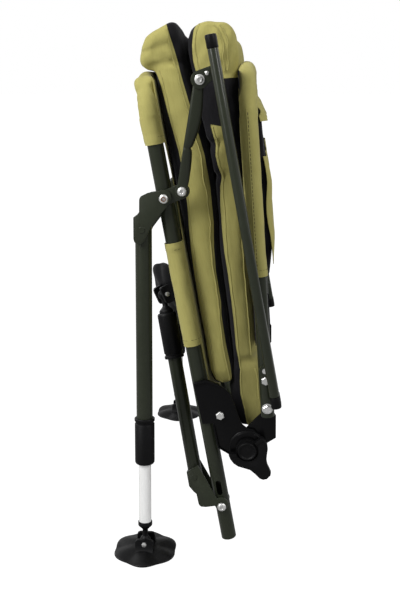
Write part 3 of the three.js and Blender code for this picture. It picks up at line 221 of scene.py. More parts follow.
def sizes():
    """Every length property in millimetres, with the distances that follow from them."""
    s = SimpleNamespace()
    for group in ("bank_chair_tubes", "bank_chair_cloth"):
        values = getattr(bpy.context.scene, group)
        for name in names_of(values):
            setattr(s, name, getattr(values, name) / MM)
    s.half = s.rail_spacing / 2
    s.rail_radius = s.rail_diameter / 2
    s.back_radius = s.back_tube_diameter / 2
    s.hinge_sheet = 3
    s.strut_plate_inner = s.rail_radius + s.gap
    s.strut_plate_outer = s.strut_plate_inner + 2.5
    s.front_cheek = s.strut_plate_outer + 1.5
    s.rear_cheek = s.rail_radius + 3.2
    s.bracket_sheet = 2.5
    s.strut_inner = s.strut_plate_outer + s.gap
    s.strut_sheet = 5
    s.seat_plate_inner = s.rail_radius + s.gap
    s.seat_plate_outer = s.seat_plate_inner + s.hinge_sheet
    s.back_plate_outer = s.seat_plate_inner - s.gap
    s.back_plate_inner = s.back_plate_outer - s.hinge_sheet
    s.back_side = s.back_plate_outer + s.gap + s.back_radius
    s.arm_inner = s.back_side + s.back_radius + s.gap + s.sleeve_cloth + 1
    s.arm_side = s.arm_inner + s.arm_width / 2
    s.lug_inner = s.back_side + s.back_radius + 0.5
    s.strut_top_outer = s.arm_inner - s.gap
    s.strut_top_inner = s.strut_top_outer - s.strut_sheet
    s.rosette_outer = s.seat_plate_outer + 3
    s.knob_inner = s.rosette_outer + s.gap
    return s


# Frames

BACK_LEAN = 5.6  # degrees between the backrest and the rails
ARM_LEAN = 6.3  # degrees between the arms and the backrest
FRONT_LEG_LEAN = 10.1  # degrees between the front legs and the rails, as folded
FRONT_LEG_SPLAY = 5  # degrees outward
REAR_LEG_LEAN = 1
REAR_LEG_SPLAY = 11  # degrees inward
REAR_FOOT_TWIST, REAR_FOOT_SWIVEL = 35, 74


def joint_place(name):
    return Vector(JOINTS[name]["pos_m"])


def shift(x, y, z):
    return Matrix.Translation(Vector((x, y, z)) * MM)


def turn(degrees, axis):
    return Matrix.Rotation(math.radians(degrees), 4, axis)


def chair_frame(s):
    """Rails' frame: x up the rails from their rear ends, y to the sitter's left, z toward the backrest."""
    rear, front = joint_place("rear_left_leg_fold"), joint_place("front_left_leg_fold")
    up = (front - rear).normalized()
    left = Vector((0, -1, 0))
    out = up.cross(left)
    start = rear - up * s.rear_hinge * MM
    start.y = 0
    rows = [(up[i], left[i], out[i], start[i]) for i in range(3)]
    return Matrix([*rows, (0, 0, 0, 1)])


def back_frame_of(s):
    """Backrest's frame at the recline axis: x up the backrest, z to its rear."""
    return chair_frame(s) @ shift(s.recline_forward, 0, s.recline_height) @ turn(-BACK_LEAN, "Y")


def arm_frame_of(s):
    return back_frame_of(s) @ shift(s.arm_pivot, 0, s.back_tube_offset) @ turn(ARM_LEAN, "Y")


def leg_frame_of(s, end, side):
    """A leg's frame at its hinge: x down the leg, z to the leg's side of the hinge."""
    if end == "front":
        place = shift(s.front_pivot, side * s.half, 0)
        return chair_frame(s) @ place @ turn(180 - FRONT_LEG_LEAN, "Y") @ turn(side * FRONT_LEG_SPLAY, "Z")
    place = shift(s.rear_hinge, side * s.half, 0) @ turn(REAR_LEG_LEAN, "Y")
    return chair_frame(s) @ place @ turn(-side * REAR_LEG_SPLAY, "Z") @ turn(180, "X")


def telescope_frames(s, end, side):
    """Frames of a leg's collar, inner leg, plug and foot."""
    leg = leg_frame_of(s, end, side)
    if end == "front":
        lean = math.radians(FRONT_LEG_LEAN)
        down = s.front_pivot * math.cos(lean) + s.rail_radius * math.sin(lean)
        reach = (down - s.foot_height) / math.cos(math.radians(FRONT_LEG_SPLAY))
        extension = reach - s.front_leg_reach - s.plug_reach
        collar = leg @ shift(s.front_leg_reach, 0, s.front_leg_offset)
        level, twist, swivel = side * FRONT_LEG_SPLAY, 0, 0
    else:
        extension = 0
        collar = leg @ shift(s.rear_leg_reach, 0, s.rear_leg_offset)
        level, twist, swivel = 0, side * REAR_FOOT_TWIST, REAR_FOOT_SWIVEL
    inner = collar @ shift(extension, 0, 0)
    plug = inner @ turn(twist, "X")
    foot = plug @ shift(s.plug_reach, 0, 0) @ turn(-level, "Z") @ turn(swivel, "Y")
    return collar, inner, plug, foot


# Modelling


def deselect():
    bpy.ops.object.select_all(action="DESELECT")


def choose(*objs):
    """Selects these objects and makes the first one active."""
    deselect()
    for obj in objs:
        obj.select_set(True)
    bpy.context.view_layer.objects.active = objs[0]


class Shaping:
    """Edit mode on one object, with all of it selected at first."""

    def __init__(self, obj):
        self.obj = obj

    def __enter__(self):
        choose(self.obj)
        bpy.ops.object.mode_set(mode="EDIT")
        bpy.ops.mesh.select_all(action="SELECT")
        return self

    def __exit__(self, *_):
        bpy.ops.object.mode_set(mode="OBJECT")

    def pick(self, mode, test):
        """Selects only the vertices, edges or faces that pass a test."""
        bpy.ops.mesh.select_all(action="DESELECT")
        bpy.ops.mesh.select_mode(type=mode)
        net = bmesh.from_edit_mesh(self.obj.data)
        for part in {"VERT": net.verts, "EDGE": net.edges, "FACE": net.faces}[mode]:
            if test(part):
                part.select_set(True)
        net.select_flush_mode()
        bmesh.update_edit_mesh(self.obj.data)

    def close(self):
        """Merges doubles, fills open ends and turns the faces outward."""
        bpy.ops.mesh.select_all(action="SELECT")
        bpy.ops.mesh.remove_doubles(threshold=MERGE)
        bpy.ops.mesh.fill_holes(sides=0)
        bpy.ops.mesh.select_all(action="SELECT")
        bpy.ops.mesh.normals_make_consistent(inside=False)


def apply(obj, kind, **settings):
    """Adds a modifier, sets it and applies it."""
    choose(obj)
    bpy.ops.object.modifier_add(type=kind)
    modifier = obj.modifiers[-1]
    for name, value in settings.items():
        setattr(modifier, name, value)
    bpy.ops.object.modifier_apply(modifier=modifier.name)
    return obj


def ease(obj, width):
    """Rounds the sharp edges."""
    return apply(
        obj, "BEVEL", width=width * MM, segments=2, limit_method="ANGLE", angle_limit=EDGE_ANGLE
    )


def joined(*objs):
    choose(*objs)
    bpy.ops.object.join()
    return bpy.context.object


def moved(obj, matrix):
    """Moves a finished shape within its own mesh."""
    obj.data.transform(matrix)
    if matrix.determinant() < 0:
        obj.data.flip_normals()
    return obj


def turned(name, profile, steps=40):
    """A shape turned about x through [radius, distance] points; it is a ring if it ends where it starts."""
    radius, distance = profile[0]
    deselect()
    bpy.ops.mesh.primitive_circle_add(vertices=steps, radius=radius * MM, location=(0, 0, 0))
    obj = bpy.context.object
    obj.name = name
    with Shaping(obj) as shape:
        bpy.ops.transform.translate(value=(0, 0, distance * MM))
        for next_radius, next_distance in profile[1:]:
            rise = (next_distance - distance) * MM
            bpy.ops.mesh.extrude_region_move(TRANSFORM_OT_translate={"value": (0, 0, rise)})
            grow = next_radius / radius
            if grow != 1:
                bpy.ops.transform.resize(value=(grow, grow, 1), center_override=(0, 0, 0))
            radius, distance = next_radius, next_distance
        shape.close()
    return moved(obj, turn(90, "Y"))


def pipe(name, radius, bore, low, high, steps=40):
    """A tube along x with eased ends."""
    lip = 0.35
    profile = [
        (bore, low), (radius - lip, low), (radius, low + lip), (radius, high - lip), (radius - lip, high),
        (bore, high), (bore, low),
    ]
    return turned(name, profile, steps)


def plate(name, outline, low, high, bevel=0.4):
    """A flat outline in x and z as sheet from one y to another, with eased edges."""
    low, high = min(low, high), max(low, high)
    deselect()
    bpy.ops.mesh.primitive_circle_add(vertices=len(outline), radius=MM)
    obj = bpy.context.object
    obj.name = name
    for vertex, (x, z) in zip(obj.data.vertices, outline):
        vertex.co = Vector((x, low, z)) * MM
    with Shaping(obj) as shape:
        bpy.ops.mesh.edge_face_add()
        bpy.ops.mesh.extrude_region_move(TRANSFORM_OT_translate={"value": (0, (high - low) * MM, 0)})
        shape.close()
    return ease(obj, bevel) if bevel else obj


def arc(x, z, radius, start, end, steps):
    """Points of an arc about a centre, angles in degrees."""
    angles = [math.radians(start + (end - start) * i / steps) for i in range(steps + 1)]
    return [(x + radius * math.cos(a), z + radius * math.sin(a)) for a in angles]


def strap(x0, z0, r0, x1, z1, r1):
    """Outline of a strap round two eyes."""
    heading = math.degrees(math.atan2(z1 - z0, x1 - x0))
    first = arc(x0, z0, r0, heading + 90, heading + 270, 12)
    return first + arc(x1, z1, r1, heading - 90, heading + 90, 12)


def skin(name, across, along, place, wrap=True, capped=True):
    """A grid whose points go where place(u, v) says, closed round u and capped at both ends of v."""
    deselect()
    bpy.ops.mesh.primitive_grid_add(x_subdivisions=across, y_subdivisions=along, size=1)
    obj = bpy.context.object
    obj.name = name
    for vertex in obj.data.vertices:
        vertex.co = Vector(place(vertex.co.x + 0.5, vertex.co.y + 0.5)) * MM
    with Shaping(obj) as shape:
        if wrap:
            bpy.ops.mesh.remove_doubles(threshold=MERGE)
        if capped:
            shape.close()
    return obj


def hoop_point(share, start, top, half, bend):
    """A point of a U in x and y and its heading, by its share of the way from left to right."""
    leg, arc_length, bar = top - bend - start, bend * math.pi / 2, 2 * (half - bend)
    way = share * (2 * leg + 2 * arc_length + bar)
    side = 1
    if way > leg + arc_length + bar / 2:
        way, side = 2 * leg + 2 * arc_length + bar - way, -1
    if way <= leg:
        x, y, heading = start + way, half, 0
    elif way <= leg + arc_length:
        heading = (way - leg) / bend
        x, y = start + leg + bend * math.sin(heading), half - bend + bend * math.cos(heading)
    else:
        heading, x, y = math.pi / 2, top, half - bend - (way - leg - arc_length)
    return (x, y, -heading) if side > 0 else (x, -y, heading - math.pi)


def hoop_length(start, top, half, bend):
    return 2 * (top - bend - start) + math.pi * bend + 2 * (half - bend)


def hoop_tube(name, start, top, half, bend, radius, z, bore):
    """A bent tube: a ring drawn out, spun round each bend and hollowed at its ends."""
    deselect()
    bpy.ops.mesh.primitive_circle_add(
        vertices=32, radius=radius * MM, location=(start * MM, half * MM, z * MM),
        rotation=(0, math.pi / 2, 0),
    )
    obj = bpy.context.object
    obj.name = name
    bpy.ops.object.transform_apply(location=True, rotation=True, scale=True)
    straight, across = (top - bend - start) * MM, 2 * (half - bend) * MM
    with Shaping(obj) as shape:
        bpy.ops.mesh.extrude_region_move(TRANSFORM_OT_translate={"value": (straight, 0, 0)})
        for side, reach in ((1, (0, -across, 0)), (-1, (-straight, 0, 0))):
            centre = ((top - bend) * MM, side * (half - bend) * MM, z * MM)
            bpy.ops.mesh.spin(steps=14, angle=math.pi / 2, center=centre, axis=(0, 0, -1))
            bpy.ops.mesh.extrude_region_move(TRANSFORM_OT_translate={"value": reach})
        for side in (1, -1):
            centre = (start * MM, side * half * MM, z * MM)
            shape.pick("VERT", lambda v: abs(v.co.x - start * MM) < 1e-6 and v.co.y * side > 0)
            bpy.ops.mesh.extrude_region_move(TRANSFORM_OT_translate={"value": (0, 0, 0)})
            narrow = bore / radius
            bpy.ops.transform.resize(value=(1, narrow, narrow), center_override=centre)
            bpy.ops.mesh.extrude_region_move(TRANSFORM_OT_translate={"value": (HOLLOW, 0, 0)})
        shape.close()
    return obj


def line_of(name, points):
    """A curve through points that are already in place, in metres."""
    deselect()
    bpy.ops.curve.primitive_bezier_curve_add()
    obj = bpy.context.object
    obj.name = name
    curve = obj.data
    curve.splines.clear()
    spline = curve.splines.new("POLY")
    spline.points.add(len(points) - 1)
    for point, place in zip(spline.points, points):
        point.co = (*place, 1)
    curve.dimensions = "3D"
    return obj


def cord_of(name, points, diameter):
    """A round thread, as mesh, along points in metres."""
    obj = line_of(name, points)
    obj.data.bevel_depth = diameter / 2 * MM
    obj.data.bevel_resolution = 3
    obj.data.use_fill_caps = True
    choose(obj)
    bpy.ops.object.convert(target="MESH")
    obj = bpy.context.object
    with Shaping(obj) as shape:
        shape.close()
    return obj


def path_length(points):
    return sum((b - a).length for a, b in zip(points, points[1:]))


def stitches_of(name, points, pitch, width=0.9):
    """A row of sewn stitches along points in metres: one stitch, repeated and bent along the row."""
    row = line_of(name + "_row", points)
    deselect()
    bpy.ops.mesh.primitive_cube_add(size=1)
    obj = bpy.context.object
    obj.name = name
    with Shaping(obj) as shape:
        bpy.ops.transform.resize(value=(pitch * 0.62 * MM, width * MM, width * MM))
        bpy.ops.transform.translate(value=(pitch * 0.4 * MM, 0, 0))
        shape.pick("FACE", lambda f: abs(f.normal.x) > 0.9)
        bpy.ops.transform.resize(value=(1, 0.55, 0.55), center_override=(0, 0, 0))
    count = max(2, int(path_length(points) / MM / pitch))
    apply(
        obj, "ARRAY", count=count, use_relative_offset=False, use_constant_offset=True,
        constant_offset_displace=(pitch * MM, 0, 0),
    )
    apply(obj, "CURVE", object=row, deform_axis="POS_X")
    bpy.data.objects.remove(row)
    return obj


def settle(obj, name, matrix, finish, body, *nodes):
    """Gives a finished piece its place, finish and body, and hides the solids that it stands for."""
    obj.name = name
    obj.data.name = name
    moved(obj, matrix @ obj.matrix_world)
    obj.matrix_world = Matrix.Identity(4)
    obj.data.materials.append(paint(finish))
    choose(obj)
    bpy.ops.object.shade_smooth_by_angle(angle=SMOOTH_ANGLE)
    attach(obj, body)
    if nodes:
        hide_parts(*nodes)
    return obj


def dress(node, finish):
    """Gives a solid that stays as it is its material."""
    obj = frame["nodes"][node]
    obj.data.materials.clear()
    obj.data.materials.append(paint(finish))


def nudge(point, scale, amount, seed):
    """A smooth push between minus and plus amount that depends on the place alone."""
    return amount * noise.noise(Vector(point) / scale + Vector((seed * 7.3, seed * 3.1, seed * 1.7)))


def clamp(value, low=0.0, high=1.0):
    return max(low, min(high, value))


def fold(distance, width):
    """A bump of height 1 that falls to 0 at width from its middle."""
    share = min(1.0, abs(distance) / width)
    return (1 - share * share) ** 2


# Materials


class Value:
    """A shader socket that takes part in sums, which adds Math nodes."""

    def __init__(self, recipe, socket):
        self.recipe = recipe
        self.socket = socket

    def _with(self, operation, *others):
        return self.recipe.node("ShaderNodeMath", enumerate(others), operation=operation)

    def __add__(self, other):
        return self._with("ADD", self, other)

    def __radd__(self, other):
        return self._with("ADD", other, self)

    def __sub__(self, other):
        return self._with("SUBTRACT", self, other)

    def __rsub__(self, other):
        return self._with("SUBTRACT", other, self)

    def __mul__(self, other):
        return self._with("MULTIPLY", self, other)

    def __rmul__(self, other):
        return self._with("MULTIPLY", other, self)

    def __abs__(self):
        return self._with("ABSOLUTE", self)

    def sine(self):
        return self._with("SINE", self)

    def above(self, other):
        return self._with("MAXIMUM", self, other)

    def clamped(self):
        return self.recipe.node("ShaderNodeClamp", {"Value": self})


class Recipe:
    """A procedural material under construction."""

    def __init__(self, name):
        self.material = bpy.data.materials.new(name)
        self.material.use_nodes = True
        self.tree = self.material.node_tree
        self.tree.nodes.clear()

    def node(self, kind, inputs=(), output=0, **settings):
        """A new node with its inputs and settings; it stands for one of its outputs in what follows."""
        made = self.tree.nodes.new(kind)
        for name, value in settings.items():
            setattr(made, name, value)
        for name, value in dict(inputs).items():
            socket = made.inputs[name]
            if isinstance(value, Value):
                self.tree.links.new(value.socket, socket)
            elif hasattr(value, "__len__") and socket.type == "RGBA":
                socket.default_value = (*value[:3], 1)
            else:
                socket.default_value = value
        return Value(self, made.outputs[output]) if len(made.outputs) else None

    def place(self, turned_by=(0, 0, 0)):
        """Object coordinates, turned about their axes by degrees."""
        where = self.node("ShaderNodeTexCoord", output="Object")
        spin = [math.radians(a) for a in turned_by]
        return self.node("ShaderNodeMapping", {"Vector": where, "Rotation": spin})

    def noise(self, where, scale, detail, rough=0.5):
        inputs = {"Vector": where, "Scale": scale, "Detail": detail, "Roughness": rough}
        return self.node("ShaderNodeTexNoise", inputs, "Fac")

    def parts(self, where):
        made = self.node("ShaderNodeSeparateXYZ", {"Vector": where})
        outputs = made.socket.node.outputs
        return [Value(self, outputs[i]) for i in range(3)]

    def mix(self, share, one, other):
        """One colour at 0 and the other at 1."""
        inputs = {0: share, 6: one, 7: other}
        return self.node("ShaderNodeMix", inputs, 2, data_type="RGBA", blend_type="MIX")

    def bump(self, height, strength, distance):
        inputs = {"Height": height, "Strength": strength, "Distance": distance}
        return self.node("ShaderNodeBump", inputs)

    def finish(self, base, roughness, normal=None, **constants):
        """Principled surface; the constants stay on its own sockets."""
        inputs = {"Base Color": base, "Roughness": roughness}
        for name, value in constants.items():
            inputs[name.replace("_", " ")] = value
        if normal is not None:
            inputs["Normal"] = normal
        shader = self.node("ShaderNodeBsdfPrincipled", inputs)
        self.node("ShaderNodeOutputMaterial", {"Surface": shader})
        return self.material


CLOTH_TURN = (0, FRONT_LEG_LEAN, 0)  # brings the rails' direction onto z, so threads run along the chair
THREAD_PITCH = 0.0011


def scaled(tone, factor):
    return [c * factor for c in tone]


def thread_pattern(name, wear):
    """Threads both ways, slubs and faded patches: a recipe with its share of light threads, roughness and
    bump.
    """
    recipe = Recipe(name)
    where = recipe.place(CLOTH_TURN)
    x, y, z = recipe.parts(where)
    turns = 2 * math.pi / THREAD_PITCH
    weave = (z * turns).sine() * 0.5 + ((x + y) * turns).sine() * 0.5
    drawn = recipe.node("ShaderNodeMapping", {"Vector": where, "Scale": (1, 1, 0.06)})
    slub = recipe.noise(drawn, 900, 1)
    cloudy = recipe.noise(where, 14, 3, 0.6)
    soft = recipe.noise(where, 60, 3, 0.55)
    share = (weave * 0.12 + slub * 0.5 + cloudy * 0.5 + soft * wear - 0.1).clamped()
    normal = recipe.bump(weave * 0.5 + slub * 0.6 + soft * 2.2, 0.35, 0.0006)
    return recipe, share, (0.78 + 0.14 * cloudy).clamped(), normal


def woven(name, light, dark, sheen, wear):
    """Plain-woven polyester in one colour."""
    recipe, share, roughness, normal = thread_pattern(name, wear)
    tone = recipe.mix(share, dark, light)
    return recipe.finish(
        tone, roughness, normal, Sheen_Weight=sheen, Sheen_Roughness=0.45, Specular_IOR_Level=0.25
    )


def quilted(name, light, dark, black):
    """Cushion cloth, from its UV map: u is the share of full light on the olive, low where shade is painted
    onto the cloth, and v is over a half on black faces.
    """
    recipe, share, roughness, normal = thread_pattern(name, 0.25)
    painted_light_share, across, _ = recipe.parts(recipe.node("ShaderNodeTexCoord", output="UV"))
    beyond = ((across - 0.5) * 400).clamped()
    # painted shade: a darker olive, mixed in where the UV map's share of full light is low
    painted_shade_olive = recipe.mix(share, scaled(dark, 0.5), scaled(light, 0.58))
    olive = recipe.mix(painted_light_share, painted_shade_olive, recipe.mix(share, dark, light))
    night = recipe.mix(share, scaled(black, 0.6), scaled(black, 1.5))
    return recipe.finish(
        recipe.mix(beyond, olive, night), roughness, normal, Sheen_Weight=0.05, Sheen_Roughness=0.45,
        Specular_IOR_Level=0.2,
    )


def painted(name, tone, roughness, coat, gloss):
    """Powder-coated steel: fine orange peel, faint dust and duller patches."""
    recipe = Recipe(name)
    where = recipe.place()
    peel = recipe.noise(where, 420, 2, 0.6)
    patch = recipe.noise(where, 22, 4, 0.6)
    dust = recipe.noise(where, 130, 5, 0.7)
    lighter = [min(1.0, c * 1.3 + 0.003) for c in tone]
    shade = recipe.mix((patch * 0.55 + dust * 0.5 - 0.25).clamped(), scaled(tone, 0.86), lighter)
    rough = (roughness - 0.06 + 0.16 * patch).clamped()
    normal = recipe.bump(peel + dust * 0.4, 0.12, 0.0004)
    return recipe.finish(
        shade, rough, normal, Coat_Weight=coat, Coat_Roughness=0.1, Specular_IOR_Level=gloss
    )


def moulded(name, tone):
    """Black plastic or rubber with a fine spark-eroded grain and rubbed edges."""
    recipe = Recipe(name)
    where = recipe.place()
    grain = recipe.noise(where, 900, 2, 0.7)
    scuff = recipe.noise(where, 60, 5, 0.65)
    rubbed = ((scuff - 0.56) * 6).clamped()
    shade = recipe.mix(rubbed * 0.5, tone, [c * 1.7 + 0.002 for c in tone])
    rough = (0.36 + 0.14 * scuff + 0.08 * grain).clamped()
    normal = recipe.bump(grain + scuff * 0.5, 0.2, 0.0004)
    return recipe.finish(shade, rough, normal, Specular_IOR_Level=0.12)


def plated(name, tone, roughness, metallic):
    """Bright plating with fine brushed scratches and a little haze."""
    recipe = Recipe(name)
    where = recipe.place()
    stretched = recipe.node("ShaderNodeMapping", {"Vector": where, "Scale": (1, 12, 1)})
    scratch = recipe.noise(stretched, 220, 3, 0.7)
    haze = recipe.noise(where, 90, 3, 0.6)
    shade = recipe.mix((haze * 0.5).clamped(), tone, scaled(tone, 0.88))
    rough = (roughness + 0.1 * scratch + 0.08 * haze - 0.07).clamped()
    normal = recipe.bump(scratch, 0.08, 0.0003)
    return recipe.finish(shade, rough, normal, Metallic=metallic)


def threaded(name, tone):
    """Twisted sewing thread."""
    recipe = Recipe(name)
    where = recipe.place()
    twist = recipe.noise(where, 1400, 1, 0.5)
    shade = recipe.mix(twist, scaled(tone, 0.7), [min(1.0, c * 1.3) for c in tone])
    return recipe.finish(shade, (0.7 + 0.2 * twist).clamped(), recipe.bump(twist, 0.4, 0.0004))


MATERIALS = {}


def paint(name):
    """The named finish, made when it is first asked for."""
    if not MATERIALS:
        finishes = bpy.context.scene.bank_chair_finishes
        tones = {key: list(getattr(finishes, key)) for key in names_of(finishes)}
        olive, shade, black = tones["olive_cloth"], tones["olive_shade"], tones["black_cloth"]
        recipes = {
            "olive_cloth": (woven, olive, shade, 0.12, 0.25),
            "olive_piping": (woven, scaled(olive, 0.9), scaled(shade, 0.8), 0.1, 0.3),
            "black_cloth": (woven, scaled(black, 1.35), scaled(black, 0.6), 0.06, 0.2),
            "cushion_cloth": (quilted, olive, shade, black),
            "olive_paint": (painted, tones["olive_paint"], 0.3, 0.22, 0.14),
            "black_paint": (painted, tones["black_paint"], 0.3, 0.06, 0.09),
            "black_plastic": (moulded, tones["black_plastic"]),
            "zinc": (plated, tones["zinc"], 0.24, 0.65),
            "steel": (plated, tones["steel"], 0.2, 0.25),
            "bronze": (plated, tones["bronze"], 0.34, 1.0),
            "thread": (threaded, tones["thread"]),
        }
        MATERIALS.update((key, make(key, *values)) for key, (make, *values) in recipes.items())
    return MATERIALS[name]


# Padding


def between(stations, x):
    """A row of stations read at x, with straight lines between them."""
    if x <= stations[0][0]:
        return stations[0][1:]
    for one, two in zip(stations, stations[1:]):
        if x <= two[0]:
            share = (x - one[0]) / (two[0] - one[0])
            return [a + (b - a) * share for a, b in zip(one[1:], two[1:])]
    return stations[-1][1:]


def value_at(rows, x):
    """The first number beside x in a table's rows."""
    return between(rows, x)[0]


def pad_section(share, half, low, high, crown, corner_share):
    """A point of a pad's cross-section in y and z, by its share of the way round."""
    thick, middle = high - low, (high + low) / 2
    corner = thick * corner_share
    flat = half - corner
    if share < 0.3:
        y, z = flat - 2 * flat * share / 0.3, high
    elif share < 0.5:
        angle = math.pi / 2 + math.pi * (share - 0.3) / 0.2
        y = -flat - corner * abs(math.cos(angle)) ** 0.75
        z = middle + thick / 2 * math.copysign(abs(math.sin(angle)) ** 0.75, math.sin(angle))
    elif share < 0.8:
        y, z = -flat + 2 * flat * (share - 0.5) / 0.3, low
    else:
        angle = -math.pi / 2 + math.pi * (share - 0.8) / 0.2
        y = flat + corner * abs(math.cos(angle)) ** 0.75
        z = middle + thick / 2 * math.copysign(abs(math.sin(angle)) ** 0.75, math.sin(angle))
    if z > middle:
        z += crown * max(0.0, 1 - (y / half) ** 2)
    return y, z


def pad_block(name, stations, corner_share):
    """The pad's starting shape, lofted through its stations of x, half width, low, high and crown."""
    start, end = stations[0][0], stations[-1][0]

    def place(u, v):
        x = start + (end - start) * v
        half, low, high, crown = between(stations, x)
        y, z = pad_section(u % 1.0, half, low, high, crown, corner_share)
        return x, y, z

    return skin(name, 96, 130, place)


PAD_INSET = 2.6  # how much smaller a pad starts than it ends, before it swells
PAD_VOXEL = 5.5
PAD_PRESSURE = 3.4
PAD_SWELL = 4.4  # how far a point may move at most
PAD_FRAMES = 20


def swell(obj):
    """Remeshes a pad evenly and swells it with the cloth solver."""
    apply(obj, "REMESH", mode="VOXEL", voxel_size=PAD_VOXEL * MM, use_smooth_shade=True)
    apply(obj, "SMOOTH", factor=0.5, iterations=2)
    rest = [vertex.co.copy() for vertex in obj.data.vertices]
    choose(obj)
    bpy.ops.object.modifier_add(type="CLOTH")
    cloth = obj.modifiers[-1]
    values = {
        "quality": 5, "mass": 0.25, "tension_stiffness": 18, "compression_stiffness": 12,
        "bending_stiffness": 0.6, "shrink_min": -0.02, "use_pressure": True,
        "uniform_pressure_force": PAD_PRESSURE,
    }
    for name, value in values.items():
        setattr(cloth.settings, name, value)
    cloth.settings.effector_weights.gravity = 0
    scene = bpy.context.scene
    for step in range(1, PAD_FRAMES + 1):
        scene.frame_set(step)
    swollen = obj.evaluated_get(bpy.context.evaluated_depsgraph_get()).data
    places = [vertex.co.copy() for vertex in swollen.vertices]
    obj.modifiers.remove(cloth)
    scene.frame_set(1)
    for vertex, before, after in zip(obj.data.vertices, rest, places):
        push = after - before
        if push.length > PAD_SWELL * MM:
            push *= PAD_SWELL * MM / push.length
        vertex.co = before + push
    return obj


def shaped(obj, move):
    """Moves each point of a mesh by hand: move takes and returns millimetres."""
    for vertex in obj.data.vertices:
        vertex.co = Vector(move(vertex.co / MM, vertex.normal)) * MM
    obj.data.update()
    return obj


def map_seams(obj, beyond, painted_light_share):
    """Writes into the UV map the share of full light on the cloth, low where shade is painted, and how far
    beyond its seam each point lies.
    """
    layer = obj.data.uv_layers.new(name="seam")
    mapped = [
        (value_at(painted_light_share, point.x), 0.5 + clamp(beyond(point), -90.0, 90.0) / 200)
        for point in (vertex.co / MM for vertex in obj.data.vertices)
    ]
    for loop in obj.data.loops:
        layer.data[loop.index].uv = mapped[loop.vertex_index]


def seam_points(obj, places, lift):
    """Points in millimetres, laid on a mesh's surface and lifted off it, in metres."""
    laid = []
    for place in places:
        found, point, normal, _ = obj.closest_point_on_mesh(Vector(place) * MM)
        laid.append(point + normal * lift * MM if found else Vector(place) * MM)
    return laid


# Cushions


def pad_line(stations, heights, side, steps):
    """Points along one side of a pad, at heights given by x, in millimetres."""
    start, end = stations[0][0], stations[-1][0]
    points = []
    for i in range(steps + 1):
        x = start + (end - start) * i / steps
        points.append((x, side * value_at(stations, x), value_at(heights, x)))
    return points


def seat_stations(s):
    """Seat cushion's stations: x, half width, low, high and crown, in the chair's frame."""
    half, low, start = s.pad_width / 2, s.seat_low, s.seat_start
    roll, drop = s.seat_reach - s.seat_roll, s.seat_roll_drop
    return [
        (start, half - 12, low + 10, 44, 0),
        (start + 6, half - 4, low + 4, 48, 0.5),
        (start + 24, half, low, 51, 0.5),
        (start + 62, half, low, 51.5, 0.5),
        (start + 107, half, low, 54.5, 0.5),
        (start + 166, half - 1, low, 57, 0.5),
        (start + 202, half - 1, low, 59.5, 0.5),
        (start + 234, half - 1, low, 63.5, 0.5),
        (start + 282, half - 1, low, 67.5, 0.5),
        (start + 327, half - 1, low, 68.5, 0.5),
        (start + 362, half - 1, low, 65, 1.5),
        (start + 396, half, low, 60.5, 4),
        (roll - 23, half, low, 57.5, 6),
        (roll - 3, half, low, 56, 6),
        (roll, half, low - drop - 3, 56, 6),
        (roll + 10, half + 1, low - drop - 4, 55.5, 6),
        (roll + 32, half + 1, low - drop - 3, 54, 5),
        (roll + 44, half - 1, low - drop + 3, 51, 4),
        (s.seat_reach - 2, half - 8, low - 6, 46, 0),
    ]


SEAT_UNDER = [
    # up the rails, height of the seam between the black underside and the olive side
    (236, 34), (246, 22), (262, 17), (334, 16.5), (370, 17), (404, 18.5), (438, 20.5), (472, 23.5),
    (503, 27),
    (540, 29), (575, 28.5), (600, 26), (634, 23), (665, 20.5), (681, 17), (686, 12), (690, -30), (760, -30),
]
SEAT_SEAM = [
    # up the rails, height of the seam between the olive side and the black sitting face
    (236, 42), (246, 45), (262, 46), (300, 45), (340, 46), (360, 48.5), (404, 49), (438, 52),
    (472, 57.5), (520, 61),
    (565, 61), (600, 57), (634, 53), (665, 49.5), (700, 46.5), (729, 43), (742, 41),
]
MEETING = [
    # up the rails, height of the plane where the two cushions press on each other
    (170, 30), (228, 33), (236, 43), (262, 50.5), (300, 52), (345, 55), (404, 57.5), (438, 59.5), (472, 64),
    (520, 68), (550, 69), (575, 68), (600, 66), (634, 64), (672, 63), (700, 62), (760, 62),
]


def back_stations(s):
    """Back cushion's stations, with low on its rear and high on its front face."""
    half, rear, reach, start = s.pad_width / 2, s.back_rear, s.back_reach, s.back_start
    rows = [
        # x, half width, rear, front, crown
        (start, half - 5, rear + 1, 9, 0),
        (start + 5, half - 2, rear + 7, 14, 0),
        (start + 30, half - 2, rear + 9, 17, 0),
        (92, half - 2, rear + 8, 20, 0),
        (s.lumbar_end - 8, half - 1, rear + 3, 20, 0.5),
        (s.lumbar_end, half - 3, rear - 2, 18, 0.5),
        (s.lumbar_end + 9, half, rear, 14, 0.5),
        (154, half, rear, 14.3, 0.5),
        (198, half, rear, 15.7, 0.5),
        (257, half, rear, 19, 0.5),
        (291, half, rear, 20.8, 0.5),
        (325, half, rear, 19.1, 0.5),
        (374, half, rear, 19.8, 0.5),
        (404, half, rear, 21.7, 0.5),
        (429, half, rear, 25, 1),
        (454, half, rear, 29, 2),
        (488, half, rear, 35, 3),
        (526, half, rear, 40, 4),
        (552, half, rear, 44, 4),
        (reach - 20, half - 1, rear - 2, 43, 4),
        (reach - 8, half - 4, rear - 8, 36, 3),
        (reach - 2, half - 12, rear - 18, 26, 0),
    ]
    return [(x, w, -low, high, rise) for x, w, low, high, rise in rows]


BACK_SEAM = [
    # up the backrest, how far in front of the recline axis the seam beside the black sitting face is
    (26, -2), (54, 2), (73, 5.5), (92, 5), (112, 3), (128, 5), (146, 7), (181, 7.5), (216, 9), (251, 11),
    (285, 14), (318, 15), (351, 15), (374, 13), (387, 10), (402, 14), (416, 16.5), (430, 15), (451, 19),
    (480, 26), (510, 31), (540, 37), (560, 36.5), (578, 33), (592, 26),
]


BACK_REAR = [
    # up the backrest, where the olive side ends towards the rear, in front of the recline axis
    (0, -60), (296, -60), (300, -19), (320, -14), (350, -9), (460, -5),
]


